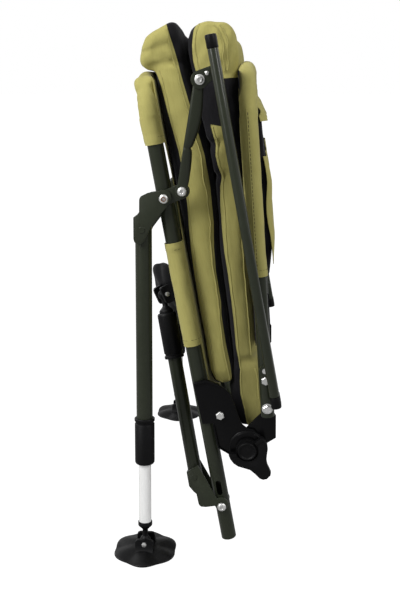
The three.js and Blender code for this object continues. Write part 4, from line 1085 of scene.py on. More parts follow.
MIRROR_Z = Matrix.Scale(-1, 4, Vector((0, 0, 1)))


def smaller(stations):
    """Stations drawn in on every side, for a pad that swells."""
    by = PAD_INSET
    first, last = stations[0][0] + by, stations[-1][0] - by
    return [
        (min(max(x, first), last), half - by, low + by, high - by, rise)
        for x, half, low, high, rise in stations
    ]


def finish_pad(s, name, pad, gather, beyond, painted_light_share, stations, lines, steps, matrix, body, node):
    """Shapes a swollen pad by hand, marks and pipes its seams, and settles it with its piping."""
    shaped(pad, gather)
    apply(pad, "SMOOTH", factor=0.4, iterations=1)
    apply(pad, "SUBSURF", levels=1, render_levels=1)
    map_seams(pad, beyond, painted_light_share)
    tubes = []
    for line, heights, first, last in lines:
        for label, side in SIDES:
            row = [p for p in pad_line(stations, heights, side, steps) if first <= p[0] <= last]
            tube_name = f"{name}_piping_{line}_{label}"
            tubes.append((cord_of(tube_name, seam_points(pad, row, 0.1), s.piping), tube_name))
    settle(pad, f"{name}_pad", matrix, "cushion_cloth", body, node)
    for tube, tube_name in tubes:
        settle(tube, tube_name, matrix, "olive_piping", body)


class BANKCHAIR_OT_seat_cushion(bpy.types.Operator):
    """Seat cushion with its black sitting face and the roll over the front bar"""

    bl_idname = "bank_chair.seat_cushion"
    bl_label = "Seat cushion"

    def execute(self, context):
        s = sizes()
        stations = seat_stations(s)
        roll = s.seat_reach - s.seat_roll
        pad = swell(pad_block("seat_pad", smaller(stations), 0.34))

        def gather(point, normal):
            x, y, z = point
            side = min(1.0, abs(y) / (s.pad_width / 2))
            tuck = (fold(x - roll - 2, 6) * 4.5 + fold(x - roll - 26 + z * 0.1, 5) * 3.8) * side ** 6
            pucker = fold(x - roll, 60) * math.sin(x * 0.35 + z * 0.2) * 0.8 * side ** 8
            soft = nudge((x * 0.5, y, z * 1.6), 46, 2.4, 1) + nudge((x * 0.8, y, z * 2.2), 17, 1.0, 2)
            wrinkle = max(0.0, z - 44) / 14 * nudge((x, y * 0.35, z), 13, 2.4, 3)
            moved_to = point + Vector(normal) * (soft + pucker + wrinkle - tuck)
            end = clamp((x - roll - 8) / 34)
            moved_to.x += end * (clamp(z, -4.0, 56.0) - 24) * 0.42 * side ** 2
            moved_to.x -= fold(x - roll, 12) * 7 * side ** 10 * clamp((16 - z) / 10)
            moved_to.z = min(moved_to.z, value_at(MEETING, moved_to.x) - 0.6)
            if moved_to.x < roll - 3 and abs(moved_to.y) < s.pad_width / 2 - 14:
                moved_to.z = max(moved_to.z, s.seat_low + 1.6)
            return moved_to

        def beyond(point):
            under = value_at(SEAT_UNDER, point.x) - point.z
            return max(under, point.z - value_at(SEAT_SEAM, point.x))

        first = s.seat_start + 4
        # the table of x against share of full light paints shade onto the cloth, darker towards the cushion's
        # lower end
        finish_pad(
            s, "seat", pad, gather, beyond, [(240, 0.72), (420, 0.9), (600, 1.0), (700, 1.0)], stations,
            (("upper", SEAT_SEAM, first, s.seat_reach - 4), ("lower", SEAT_UNDER, first, roll - 4)), 100,
            chair_frame(s), "seat_frame", "seat_cushion",
        )
        return {"FINISHED"}


class BANKCHAIR_OT_back_cushion(bpy.types.Operator):
    """Back cushion with its lumbar roll, sewn channels and head pillow"""

    bl_idname = "bank_chair.back_cushion"
    bl_label = "Back cushion"

    def execute(self, context):
        s = sizes()
        stations = back_stations(s)
        pad = swell(pad_block("back_pad", smaller(stations), 0.3))
        channels = ((387, 6.5), (430, 6.5))
        chair_to_back = back_frame_of(s).inverted() @ chair_frame(s)
        meeting = []
        for x, z in MEETING:
            point = chair_to_back @ (Vector((x, 0, z)) * MM) / MM
            meeting.append((point.x, -point.z))

        def gather(point, normal):
            x, y, z = point
            side = min(1.0, abs(y) / (s.pad_width / 2))
            low, high = between(stations, x)[1:3]
            face = clamp((z - low) / max(1.0, high - low))
            depth = 0.6 * face + 4.0 * side ** 4 * (1 - 0.7 * face)
            push = -fold(x - s.lumbar_end - 4 * (1 - face), 8) * depth
            push -= fold(x - s.pillow_start - 5 * (1 - face), 9) * 3.0 * side ** 6
            for place, depth in channels:
                push -= fold(x - place - 5 * (1 - face), 7) * depth * (0.25 + 0.75 * face)
                push += fold(x - place - 14, 10) * 1.5 * face
            pillow = clamp((x - 460) / 100)
            push += pillow * side ** 8 * math.sin(x * 0.21 + z * 0.3) * 1.2
            push += pillow * max(0.0, z - 24) / 14 * nudge((x, y * 0.35, z), 15, 2.6, 7)
            push += nudge((x * 0.5, y, z * 1.6), 44, 2.4, 5) + nudge((x * 0.8, y, z * 2.2), 16, 1.0, 6)
            moved_to = point + Vector(normal) * push
            moved_to.z = min(moved_to.z, value_at(meeting, moved_to.x) - 0.6)
            return moved_to

        def beyond(point):
            rear = min(value_at(BACK_REAR, point.x) - point.z, s.pillow_start - point.x)
            side = min(point.x - 0.25 * point.z - 452, s.pillow_start - point.x)
            return max(rear, side, point.z - value_at(BACK_SEAM, point.x))

        top = [(x, -s.back_rear * share) for x, share in ((500, 0.55), (560, 0.6), (578, 0.3), (592, -0.3))]
        second = [(x, z + 7) for x, z in top]
        lines = (
            ("front", BACK_SEAM, 0, 456), ("pillow_front", BACK_SEAM, s.pillow_start + 3, 592),
            ("rear", [(x, max(z, -18.5)) for x, z in BACK_REAR], s.lumbar_end + 4, 440),
            ("pillow", top, s.pillow_start + 4, 589), ("pillow_inner", second, s.pillow_start + 4, 589),
            ("end", [(0, -22), (600, -22)], 62, s.lumbar_end - 8),
        )
        # the table of x against share of full light paints shade onto the cloth, much darker towards the
        # cushion's lower end
        finish_pad(
            s, "back", pad, gather, beyond, [(20, 0.1), (120, 0.25), (300, 0.4), (420, 0.7), (520, 1.0)],
            stations, lines, 110, back_frame_of(s) @ MIRROR_Z, "backrest", "back_cushion",
        )
        return {"FINISHED"}


# Slings and sleeves

CLOTH_SHEET = 0.9


def hem(distance):
    """Extra thickness of a sleeve near its end: a turned hem with two sewn grooves."""
    if distance > 12:
        return 0.0
    height = 0.55 if distance < 10.5 else 0.55 * (12 - distance) / 1.5
    return height - 0.45 * fold(distance - 2.2, 1.1) - 0.55 * fold(distance - 9.2, 1.3)


def sleeve(name, low, high, radius, seed):
    """A cloth sleeve on a straight tube, with a hem at each end and soft creases."""

    def place(u, v):
        angle, x = 2 * math.pi * u, low + (high - low) * v
        reach = radius + hem(min(x - low, high - x))
        reach += nudge((x * 0.35, 9 * math.cos(angle), 9 * math.sin(angle)), 7, 0.45, seed)
        reach += 0.25 * math.sin(3 * angle + x * 0.03) * math.sin(x * 0.11)
        return x, reach * math.cos(angle), reach * math.sin(angle)

    obj = skin(name, 64, 90, place, capped=False)
    return apply(obj, "SOLIDIFY", thickness=CLOTH_SHEET * MM, offset=-1)


def hood(name, start, top, half, bend, z, radius, seed, corner):
    """A cloth hood over a bent tube: hems at its ends, gathers and a folded corner at its bends."""
    total = hoop_length(start, top, half, bend)
    leg, arc_length = top - bend - start, bend * math.pi / 2

    def place(u, v):
        angle, way = 2 * math.pi * u, total * v
        x, y, heading = hoop_point(v, start, top, half, bend)
        mirrored = min(way, total - way)
        reach = radius + hem(mirrored)
        bent = fold(mirrored - leg - arc_length / 2, arc_length * 0.8)
        inner = max(0.0, -math.cos(angle))
        gather = bent * (0.5 + inner) * math.sin(mirrored * 0.55 + 1.3 * math.sin(angle)) * 0.45
        past = mirrored - leg - arc_length * 0.62
        peak = fold(past, 13) * max(0.0, math.cos(angle + 0.8)) ** 5 * 5
        peak += fold(past, 11) * max(0.0, math.cos(angle - 0.7)) ** 7 * 4
        gather += (1 - bent) * min(1.0, mirrored / 20) * 0.8 + corner * peak
        crease = (x * 0.35, y * 0.35 + 9 * math.cos(angle), 9 * math.sin(angle))
        reach += gather + nudge(crease, 8, 0.5, seed)
        out = (-math.sin(heading) * math.cos(angle), math.cos(heading) * math.cos(angle))
        slack = min(1.0, mirrored / 30) * (1.4 if mirrored < leg else 0.6)
        return x + out[0] * reach, y + out[1] * reach, z - slack + reach * math.sin(angle)

    obj = skin(name, 48, 330, place, capped=False)
    return apply(obj, "SOLIDIFY", thickness=CLOTH_SHEET * MM, offset=-1)


def ring_points(x, y, radius):
    """A ring round a tube along x, in metres."""
    angles = [2 * math.pi * i / 48 for i in range(49)]
    return [Vector((x, y + radius * math.cos(a), radius * math.sin(a))) * MM for a in angles]


def sling_panel(name, start, end, half_at, z, sag, seed):
    """The stretched panel between the tubes, drawn in where it is cut away."""

    def place(u, v):
        x = start + (end - start) * v
        across = 2 * u - 1
        half = half_at(x)
        y = across * half
        middle = (1 - across ** 2) * math.sin(math.pi * v)
        ripple = nudge((x * 0.4, y, 0), 60, 1.2, seed) * (1 - abs(across))
        ripple += nudge((x, y * 0.3, 0), 22, 0.3, seed + 1)
        return x, y, z + sag * middle + ripple

    obj = skin(name, 90, 90, place, wrap=False, capped=False)
    return apply(obj, "SOLIDIFY", thickness=1.2 * MM, offset=0)


class BANKCHAIR_OT_seat_sling(bpy.types.Operator):
    """Seat sling: the panel, the rear sleeves, the hood over the front bar and their stitches"""

    bl_idname = "bank_chair.seat_sling"
    bl_label = "Seat sling"

    def execute(self, context):
        s = sizes()
        matrix = chair_frame(s)
        radius = s.rail_radius + s.gap + s.sleeve_cloth - 0.6

        def half_at(x):
            recess = fold(x - 524, 82) ** 0.5 if abs(x - 524) < 82 else 0.0
            edge = max(0.0, 1 - (x - s.sling_start) / 40) if x < s.sling_start + 40 else 0.0
            return s.half - 1 - 22 * recess - 8 * edge ** 2

        panel = sling_panel(
            "seat_sling_panel", s.sling_start, s.hoop_reach, half_at, s.rail_radius + s.gap + 0.9, -2.0, 11
        )
        settle(panel, "seat_sling_panel", matrix, "olive_cloth", "seat_frame", "seat_sling")
        for label, side in SIDES:
            tube = sleeve("sleeve", s.rear_sleeve_start, s.rear_sleeve_end, radius, 3 + side)
            place = matrix @ shift(0, side * s.half, 0)
            settle(tube, f"seat_sleeve_{label}", place, "olive_cloth", "seat_frame")
        front = hood(
            "hood", s.front_sleeve_start, s.hoop_reach, s.half, s.hoop_bend, 0, radius, 8, 1.0
        )
        settle(front, "front_bar_hood", matrix, "olive_cloth", "seat_frame")
        rows = [s.rear_sleeve_start + 9.2, s.rear_sleeve_end - 9.2, s.front_sleeve_start + 9.2]
        for label, side in SIDES:
            rings = [ring_points(x, side * s.half, radius + 0.35) for x in rows]
            seams = [stitches_of("seam", ring, s.stitch_pitch) for ring in rings]
            settle(joined(*seams), f"seat_sleeve_stitches_{label}", matrix, "thread", "seat_frame")
        return {"FINISHED"}


class BANKCHAIR_OT_back_sling(bpy.types.Operator):
    """Back sling: the panel, the long hood over the bent tube and its stitched seam"""

    bl_idname = "bank_chair.back_sling"
    bl_label = "Back sling"

    def execute(self, context):
        s = sizes()
        matrix = back_frame_of(s)
        half = s.half + s.back_side
        radius = s.back_radius + s.gap + s.sleeve_cloth - 0.6

        def half_at(x):
            wide, narrow = half - 1, s.half + s.back_plate_inner - 4
            share = clamp((x - s.back_sleeve_start + 8) / 8)
            return narrow + (wide - narrow) * share

        z = s.back_tube_offset - s.back_radius - s.gap - 1
        panel = sling_panel("back_sling_panel", s.back_sling_start, s.back_tube_top, half_at, z, 0.0, 21)
        settle(panel, "back_sling_panel", matrix, "black_cloth", "backrest", "back_sling")
        cover = hood(
            "hood", s.back_sleeve_start, s.back_tube_top, half, s.back_bend, s.back_tube_offset, radius,
            14, 0.25,
        )
        settle(cover, "back_hood", matrix, "olive_cloth", "backrest")
        for label, side in SIDES:
            def along(degrees, lift):
                angle, out = math.radians(180 + degrees if side > 0 else -degrees), radius + lift
                y, z = side * half - out * math.cos(angle), s.back_tube_offset + out * math.sin(angle)
                return [Vector((s.back_sleeve_start + 4 + i * 4.6, y, z)) * MM for i in range(48)]

            rows = [
                stitches_of("seam", along(9, 0.7), s.stitch_pitch, 1.5),
                stitches_of(
                    "ring", [
                        p + Vector((0, 0, s.back_tube_offset)) * MM
                        for p in ring_points(s.back_sleeve_start + 9.2, side * half, radius + 0.35)
                    ], s.stitch_pitch,
                ),
            ]
            fell = cord_of("fell", along(17, 0.5), 2.4)
            settle(fell, f"back_hood_fell_{label}", matrix, "olive_piping", "backrest")
            settle(joined(*rows), f"back_hood_stitches_{label}", matrix, "thread", "backrest")
        2 * half * MM
        return {"FINISHED"}


def pocket_rear(s, x):
    """How far behind the recline axis the pocket's rear face lies at x."""
    near = s.back_tube_offset - s.back_radius + s.gap
    share = (x - s.pocket_start) / (s.pocket_reach - s.pocket_start)
    rows = [
        (0, 0.76), (0.06, 0.94), (0.14, 1.05), (0.27, 1.23), (0.56, 1.2), (0.72, 1.02), (0.87, 0.97),
        (0.95, 0.8),
        (1, 0.55),
    ]
    return near + s.pocket_depth * value_at(rows, share)


class BANKCHAIR_OT_rear_pocket(bpy.types.Operator):
    """Pocket behind the backrest: black sides, a slack olive face and a turned flap"""

    bl_idname = "bank_chair.rear_pocket"
    bl_label = "Rear pocket"

    def execute(self, context):
        s = sizes()
        matrix = back_frame_of(s)
        half = s.pocket_width / 2
        near = s.back_tube_offset - s.back_radius + s.gap

        def bag(u, v):
            x = s.pocket_start + 14 + (s.pocket_reach - s.pocket_start - 16) * v
            far = pocket_rear(s, x) - 2.2
            ends = 1 - abs(2 * v - 1) ** 6 * 0.12
            y, z = pad_section(u % 1.0, (half - 3) * ends, near + 0.3, far, 0, 0.28)
            side = min(1.0, abs(y) / half) ** 6
            hollow = (2.2 + 1.6 * math.sin(x * 0.12)) * math.sin(math.pi * (z - near) / (far - near + 1))
            y -= math.copysign(side * hollow, y)
            return x, y, z

        body = skin("pocket_bag", 110, 110, bag)
        settle(body, "pocket_bag", matrix, "black_cloth", "backrest", "back_pocket")
        low, high = s.pocket_start + 46, 410

        def face(u, v):
            x = low + (high - low) * v
            across = 2 * u - 1
            rim = max(0.0, (abs(across) - 0.955) / 0.045)
            corner = max(0.0, 1 - (x - low) / 26)
            y = across * (half + 0.5) - math.copysign(2.5 * rim ** 2, across)
            wrap = 6 * rim * (1 - 0.25 * math.sin(x * 0.05)) * min(1.0, (x - low + 6) / 30)
            ripple = nudge((x * 0.6, y * 0.5, 0), 40, 1.8, 31)
            ripple += 0.8 * math.sin(x * 0.06 + across * 4) * abs(across)
            lower = x - 12 * corner * rim
            return lower, y, pocket_rear(s, max(x, s.pocket_start)) - 0.6 + min(1.4, ripple) - wrap

        front = skin("pocket_face", 120, 100, face, wrap=False, capped=False)
        apply(front, "SOLIDIFY", thickness=CLOTH_SHEET * MM, offset=0)
        settle(front, "pocket_face", matrix, "olive_cloth", "backrest")
        flap_low, flap_high = 456, s.pocket_reach + 1

        def flap(u, v):
            x = flap_low + (flap_high - flap_low) * v
            across = 2 * u - 1
            rim = max(0.0, (abs(across) - 0.94) / 0.06)
            rise = pocket_rear(s, x) + 1.0 + 5.5 * (1 - v) ** 1.5
            y = across * (half - 2 - 7 * v) - math.copysign(2 * rim ** 2, across)
            ripple = nudge((x, y * 0.4, 0), 30, 1.6, 41)
            return x, y, rise + ripple - 10 * rim * (0.4 + 0.6 * (1 - v)) * (1 - 0.5 * fold(x - 470, 8))

        turned_flap = skin("pocket_flap", 110, 26, flap, wrap=False, capped=False)
        apply(turned_flap, "SOLIDIFY", thickness=CLOTH_SHEET * MM, offset=0)
        settle(turned_flap, "pocket_flap", matrix, "olive_cloth", "backrest")
        return {"FINISHED"}


# Tubes and legs


class BANKCHAIR_OT_seat_frame(bpy.types.Operator):
    """Seat rails with their slots, the cross tube and the front bar"""

    bl_idname = "bank_chair.seat_frame"
    bl_label = "Seat frame"

    def execute(self, context):
        s = sizes()
        matrix = chair_frame(s)
        for label, side in SIDES:
            rail = pipe("rail", s.rail_radius, s.rail_radius - s.rail_wall, 0, s.rail_length, 48)
            slot = plate("slot", strap(78, 0, 4, 94, 0, 4), side * 4, side * 16, 0)
            apply(rail, "BOOLEAN", object=slot, operation="DIFFERENCE", solver="EXACT")
            bpy.data.objects.remove(slot)
            place = matrix @ shift(0, side * s.half, 0)
            settle(rail, f"seat_rail_{label}", place, "olive_paint", "seat_frame", f"rail_{label}")
        dress("front_hoop", "olive_paint")
        radius, reach = s.cross_tube_diameter / 2, s.half - s.rail_radius - s.gap
        cross = pipe("cross", radius, radius - 1.5, -reach, reach)
        moved(cross, turn(90, "Z"))
        settle(
            cross, "cross_tube", matrix @ shift(s.cross_tube_place, 0, 0), "olive_paint", "seat_frame",
            "rear_cross_tube",
        )
        return {"FINISHED"}


def bracket(s, outline, cheek, web_start, web_length, web_top, rivet):
    """Two cheeks joined by a web over the leg, with a rivet through the tube."""
    outer = cheek + s.bracket_sheet
    cheeks = [plate("cheek", outline, side * cheek, side * outer, 0.7) for side in (1, -1)]
    web_end, under = web_start + web_length, web_top - s.bracket_sheet
    corners = [(web_start, under), (web_end, under), (web_end, web_top), (web_start, web_top)]
    web = plate("web", corners, -outer, outer, 0.9)
    profile = [(3.8, -outer - 0.9), (4.4, -outer - 0.3), (4.4, outer + 0.3), (3.8, outer + 0.9)]
    rivet_body = moved(turned("rivet", profile, 28), turn(90, "Z"))
    moved(rivet_body, shift(rivet[0], 0, rivet[1]))
    return [*cheeks, web, rivet_body]


FRONT_EYE, REAR_EYE = 10.5, 10  # radius of a bracket round its pivot


def leg_pair(s, end, outline, cheek, web_length, rivet, steps):
    """Both legs of one end: a tube with its folded bracket, whose rivet is so far past the tube's start."""
    start, offset, diameter, wall, reach = (
        getattr(s, f"{end}_leg_{part}") for part in ("start", "offset", "diameter", "wall", "reach")
    )
    radius = diameter / 2
    for label, side in SIDES:
        tube = pipe("tube", radius, radius - wall, start, reach - s.collar_lip - s.gap, steps)
        moved(tube, shift(0, 0, offset))
        parts = bracket(s, outline, cheek, start, web_length, offset + radius, (start + rivet, offset))
        settle(
            joined(tube, *parts), f"{end}_leg_{label}", leg_frame_of(s, end, side), "olive_paint",
            f"{end}_{label}_leg", f"{end}_leg_{label}_tube",
        )


class BANKCHAIR_OT_front_legs(bpy.types.Operator):
    """Front leg tubes with their folded brackets"""

    bl_idname = "bank_chair.front_legs"
    bl_label = "Front legs"

    def execute(self, context):
        s = sizes()
        start, offset, radius = s.front_leg_start, s.front_leg_offset, s.front_leg_diameter / 2
        outline = [
            *arc(0, 0, FRONT_EYE, 215, 145, 10), (-6.3, offset * 0.72),
            *arc(4.2, offset - 4.6, 8, 140, 95, 5),
            (start - 7, offset + 3.6), (start - 4, offset + 6), (start, offset + radius),
            (start + 29, offset + radius), *arc(start + 29, offset + 4, 7.5, 60, -60, 8),
            (start + 15, offset * 0.62), *arc(0, 0, FRONT_EYE, -40, -145, 12),
        ]
        leg_pair(s, "front", outline, s.front_cheek, 30, 17, 44)
        return {"FINISHED"}


class BANKCHAIR_OT_rear_legs(bpy.types.Operator):
    """Rear leg tubes with their folded brackets"""

    bl_idname = "bank_chair.rear_legs"
    bl_label = "Rear legs"

    def execute(self, context):
        s = sizes()
        start, offset, radius = s.rear_leg_start, s.rear_leg_offset, s.rear_leg_diameter / 2
        outline = [
            *arc(0, 0, REAR_EYE, 215, 100, 10), (-1.5, offset * 0.72), *arc(6, offset - 6, 7, 150, 90, 5),
            (20, offset + 1.5), (24, offset + 5), (start, offset + radius), (start + 22, offset + radius),
            (start + 29, offset - radius + 2), *arc(0, 0, REAR_EYE, 30, -145, 14),
        ]
        leg_pair(s, "rear", outline, s.rear_cheek, 22, 12, 40)
        return {"FINISHED"}


class BANKCHAIR_OT_telescopes(bpy.types.Operator):
    """Lock collars, bright inner legs and ball plugs of all four legs"""

    bl_idname = "bank_chair.telescopes"
    bl_label = "Telescopic ends"

    def execute(self, context):
        s = sizes()
        wide, long, lip = s.collar_diameter / 2, s.collar_length, s.collar_lip
        inner = s.inner_leg_diameter / 2
        for end in ("front", "rear"):
            tube_radius = (s.front_leg_diameter if end == "front" else s.rear_leg_diameter) / 2
            for label, side in SIDES:
                collar_at, inner_at, plug_at, _ = telescope_frames(s, end, side)
                key, body = f"{end}_leg_{label}", f"{end}_{label}"
                bore, socket = inner + s.gap, tube_radius + s.gap
                collar = turned("collar", [(r, -d) for r, d in [
                    (bore, 0), (wide - 2.6, 0), (wide - 1.5, 0.7), (wide - 0.5, 2.6), (wide - 0.4, 5),
                    (wide - 0.4, long - 8.6), (wide - 0.9, long - 7.9), (wide - 1.6, long - 7.6),
                    (wide - 1.6, long - 5), (wide - 0.9, long - 4.6), (wide - 0.2, long - 4.2),
                    (wide, long - 3.6),
                    (wide, long - 0.7), (wide - 0.6, long), (socket, long), (socket, lip), (bore, lip),
                    (bore, 0),
                ]], 56)
                settle(
                    collar, f"{end}_collar_{label}", collar_at, "black_plastic", f"{body}_collar",
                    f"{key}_lock_collar",
                )
                rod = pipe("inner", inner, inner - 1.5, -s.inner_leg_length, 0, 40)
                settle(
                    rod, f"{end}_inner_leg_{label}", inner_at, "steel", f"{body}_inner_leg",
                    f"{key}_inner_tube",
                )
                ball, reach = s.ball_diameter / 2, s.plug_reach
                crown = [
                    (ball * math.sin(math.radians(a)), reach - ball * math.cos(math.radians(a)))
                    for a in (32, 45, 60, 75, 90, 105, 120, 135, 150, 162, 172)
                ]
                plug = turned("plug", [
                    (inner - 2, -18), (inner - 2, s.gap), (inner + 0.2, s.gap), (inner + 0.2, -2.6),
                    (9.9, -2.4),
                    (10.3, -1.8), (10.3, 3), (9.8, 4), (8.3, 5.6), (6.2, 7.6), (4.6, 9.4), (4, 11),
                    (4, reach - 7.3),
                    *crown,
                ], 40)
                settle(
                    plug, f"{end}_plug_{label}", plug_at, "black_plastic", f"{body}_inner_leg",
                    f"{key}_ball_plug",
                )
        return {"FINISHED"}


def lofted(name, rings):
    """A closed skin through rings of points."""
    count, last = len(rings[0]), len(rings) - 1
    return skin(name, count, last, lambda u, v: rings[round(v * last)][round(u * count) % count])


class BANKCHAIR_OT_mud_feet(bpy.types.Operator):
    """Swivelling mud feet: an umbrella of ribs, a yoke with a raised panel and a rivet"""

    bl_idname = "bank_chair.mud_feet"
    bl_label = "Mud feet"

    def make_foot(self, s):
        outer, tall, lobes = s.foot_diameter / 2, s.foot_height, 6
        rows = [
            # way out from the hub, share of the radius, height, how far the lobes draw in, pleat
            (0, 0.16, 9.5, 0, 0), (0.14, 0.3, 9.3, 0, 0), (0.3, 0.46, 8.8, 0.25, 0.9),
            (0.45, 0.6, 7.6, 0.5, 1.9),
            (0.6, 0.74, 6.0, 0.75, 2.6), (0.75, 0.87, 4.2, 0.95, 2.6), (0.86, 0.96, 2.9, 1, 1.6),
            (0.92, 1.0, 2.0, 1, 0.6), (0.96, 1.0, 1.0, 1, 0.2), (1.0, 0.97, 0, 1, 0),
        ]

        def dome(u, v):
            angle = 2 * math.pi * u
            share, height, lobed, pleat = between(rows, v)
            ridge = ((1 + math.cos(lobes * angle)) / 2) ** 0.8
            radius = outer * share - lobed * 3.4 * (1 - ridge)
            rise = height + pleat * (ridge - 0.45)
            return tall - max(0.0, rise), radius * math.cos(angle), radius * math.sin(angle)

        shell = skin("dome", 128, 44, dome)
        ball = s.ball_diameter / 2
        inner = ball + 0.6
        wall, base = inner + 4.6, tall - 2
        parts = [shell]
        for side in (1, -1):

            def section(z, shrink):
                return [
                    (x, side * y, z) for x, y in [
                        (-6.5 + shrink, inner), (-6.9 + shrink, inner + 2),
                        (-6.5 + shrink, wall - shrink / 2),
                        (-4, wall + 0.4), (0, wall + 1.4), (base * 0.4, wall + 3.6),
                        (base * 0.75, wall + 9),
                        (base, outer * 0.7), (base, inner),
                    ]
                ]

            cheek = lofted("cheek", [
                section(-13, 3.4), section(-12.3, 1.6), section(-10.6, 0.5), section(-8, 0), section(8, 0),
                section(10.6, 0.5), section(12.3, 1.6), section(13, 3.4),
            ])
            parts.append(cheek)
        foot = joined(*parts)
        reach = wall + 1.2
        rivet = turned("rivet", [
            (2.4, -reach - 1.8), (3.2, -reach - 1.4), (3.5, -reach - 0.4), (3.5, -reach + 1),
            (2.2, -reach + 1),
            (2.2, reach - 1), (3.5, reach - 1), (3.5, reach + 0.4), (3.2, reach + 1.4), (2.4, reach + 1.8),
        ], 28)
        moved(rivet, turn(90, "Z"))
        return foot, rivet

    def execute(self, context):
        s = sizes()
        for end in ("front", "rear"):
            for label, side in SIDES:
                foot, rivet = self.make_foot(s)
                place = telescope_frames(s, end, side)[3]
                body = f"{end}_{label}_foot"
                settle(
                    foot, f"{end}_foot_{label}", place, "black_plastic", body,
                    f"{end}_leg_{label}_mud_foot",
                )
                settle(rivet, f"{end}_foot_rivet_{label}", place, "zinc", body)
        return {"FINISHED"}


class BANKCHAIR_OT_back_frame(bpy.types.Operator):
    """Bent tube of the backrest"""

    bl_idname = "bank_chair.back_frame"
    bl_label = "Backrest frame"

    def execute(self, context):
        s = sizes()
        tube = hoop_tube(
            "back_tube", s.back_tube_start, s.back_tube_top, s.half + s.back_side, s.back_bend, s.back_radius,
            s.back_tube_offset, s.back_radius - 1.5,
        )
        settle(tube, "back_tube", back_frame_of(s), "olive_paint", "backrest", "back_frame")
        return {"FINISHED"}


def hexagon(name, radius, height):
    """A chamfered hexagon head along x."""
    profile = [(radius * 0.92, 0), (radius, 0.5), (radius, height - 0.9), (radius * 0.84, height)]
    return turned(name, profile, 6)


def button(name, radius, height):
    """A button head with a round recess along x."""
    return turned(name, [
        (radius * 0.97, 0), (radius, 0.3), (radius, height * 0.3), (radius * 0.95, height * 0.55),
        (radius * 0.82, height * 0.8), (radius * 0.6, height * 0.95), (2.9, height), (2.5, height - 0.3),
        (2.4, height - 1.8), (0.4, height - 1.8),
    ], 40)


def along_y(obj, side, y):
    """Stands a shape made along x on a side's outer face at y."""
    moved(obj, turn(90 * side, "Z"))
    return moved(obj, shift(0, y, 0))


class BANKCHAIR_OT_hinges(bpy.types.Operator):
    """Seat and backrest hinge plates with their rosettes and hexagon studs"""

    bl_idname = "bank_chair.hinges"
    bl_label = "Recline hinges"

    def execute(self, context):
        s = sizes()
        dx, dz = s.recline_forward, s.recline_height
        seat_outline = [
            (dx + 45.1, -6), (dx + 107, -8), (dx + 110, 11), (dx + 100, 28), (dx + 94, 34),
            (dx + 84.7, 41.6),
            (dx + 77, 43), (dx + 38, 49), (dx + 30, dz + 4), (dx + 26, dz + 14),
            *arc(dx, dz, 27, 36, 250, 28),
            (dx - 6.4, 24.2), (dx + 5.2, 10), (dx + 41.6, 9), (dx + 44, 10.4),
        ]
        tail = s.back_radius
        start, stud_at, offset = s.back_tube_start, 107.3, s.back_tube_offset
        back_outline = [
            *arc(0, 0, 26, 85, 320, 30), (start - 22, 0), (start, offset - tail), (stud_at, offset - tail),
            *arc(stud_at, offset, tail, -90, 90, 16)[1:], (start - 2, offset + tail),
            (start - 5, offset + tail + 2), (11.5, offset + tail),
        ]
        for label, side in SIDES:
            y = side * s.half
            face = y + side * s.seat_plate_outer
            body = plate("plate", seat_outline, y + side * s.seat_plate_inner, face, 0.5)
            flange = plate("flange", [
                (dx + 109, -7.4), (dx + 111.4, 11), (dx + 101.4, 29), (dx + 99, 27.6),
                (dx + 108.4, 10.6), (dx + 106, -7),
            ], y + side * s.seat_plate_inner, face + side * 3, 0.6)
            rim = plate("rim", [
                (dx + 6, 10), (dx + 41.6, 9), (dx + 41.8, 11), (dx + 6.4, 12), (dx - 5, 24.6),
                (dx - 6.4, 24.2),
            ], face - side * 1, face + side * 2, 0.7)
            rosette = turned("rosette", [
                (0.5, 0), (25.6, 0), (26.4, 0.5), (26.4, 1.2), (25.4, 2), (24.6, 2.2), (24, 3), (0.5, 3),
            ], 72)
            moved(along_y(rosette, side, face), shift(dx, 0, dz))
            seat = joined(body, flange, rim, rosette)
            settle(
                seat, f"seat_plate_{label}", chair_frame(s), "black_paint", "seat_frame",
                f"seat_hinge_plate_{label}",
            )
            stud = along_y(hexagon("stud", 6.2, 4.5), side, face)
            settle(
                stud, f"seat_plate_stud_{label}", chair_frame(s) @ shift(dx + 55, 0, 21.7), "zinc",
                "seat_frame",
            )
            inner, outer = y + side * s.back_plate_inner, y + side * s.back_plate_outer
            back = plate("plate", back_outline, inner, outer, 0.5)
            settle(
                back, f"back_plate_{label}", back_frame_of(s), "black_paint", "backrest",
                f"back_hinge_plate_{label}",
            )
            beyond = y + side * (s.back_side + s.back_radius + s.gap)
            stud = along_y(hexagon("stud", 6.2, 4.5), side, beyond)
            settle(
                stud, f"back_plate_stud_{label}", back_frame_of(s) @ shift(stud_at, 0, offset), "zinc",
                "backrest",
            )
        return {"FINISHED"}


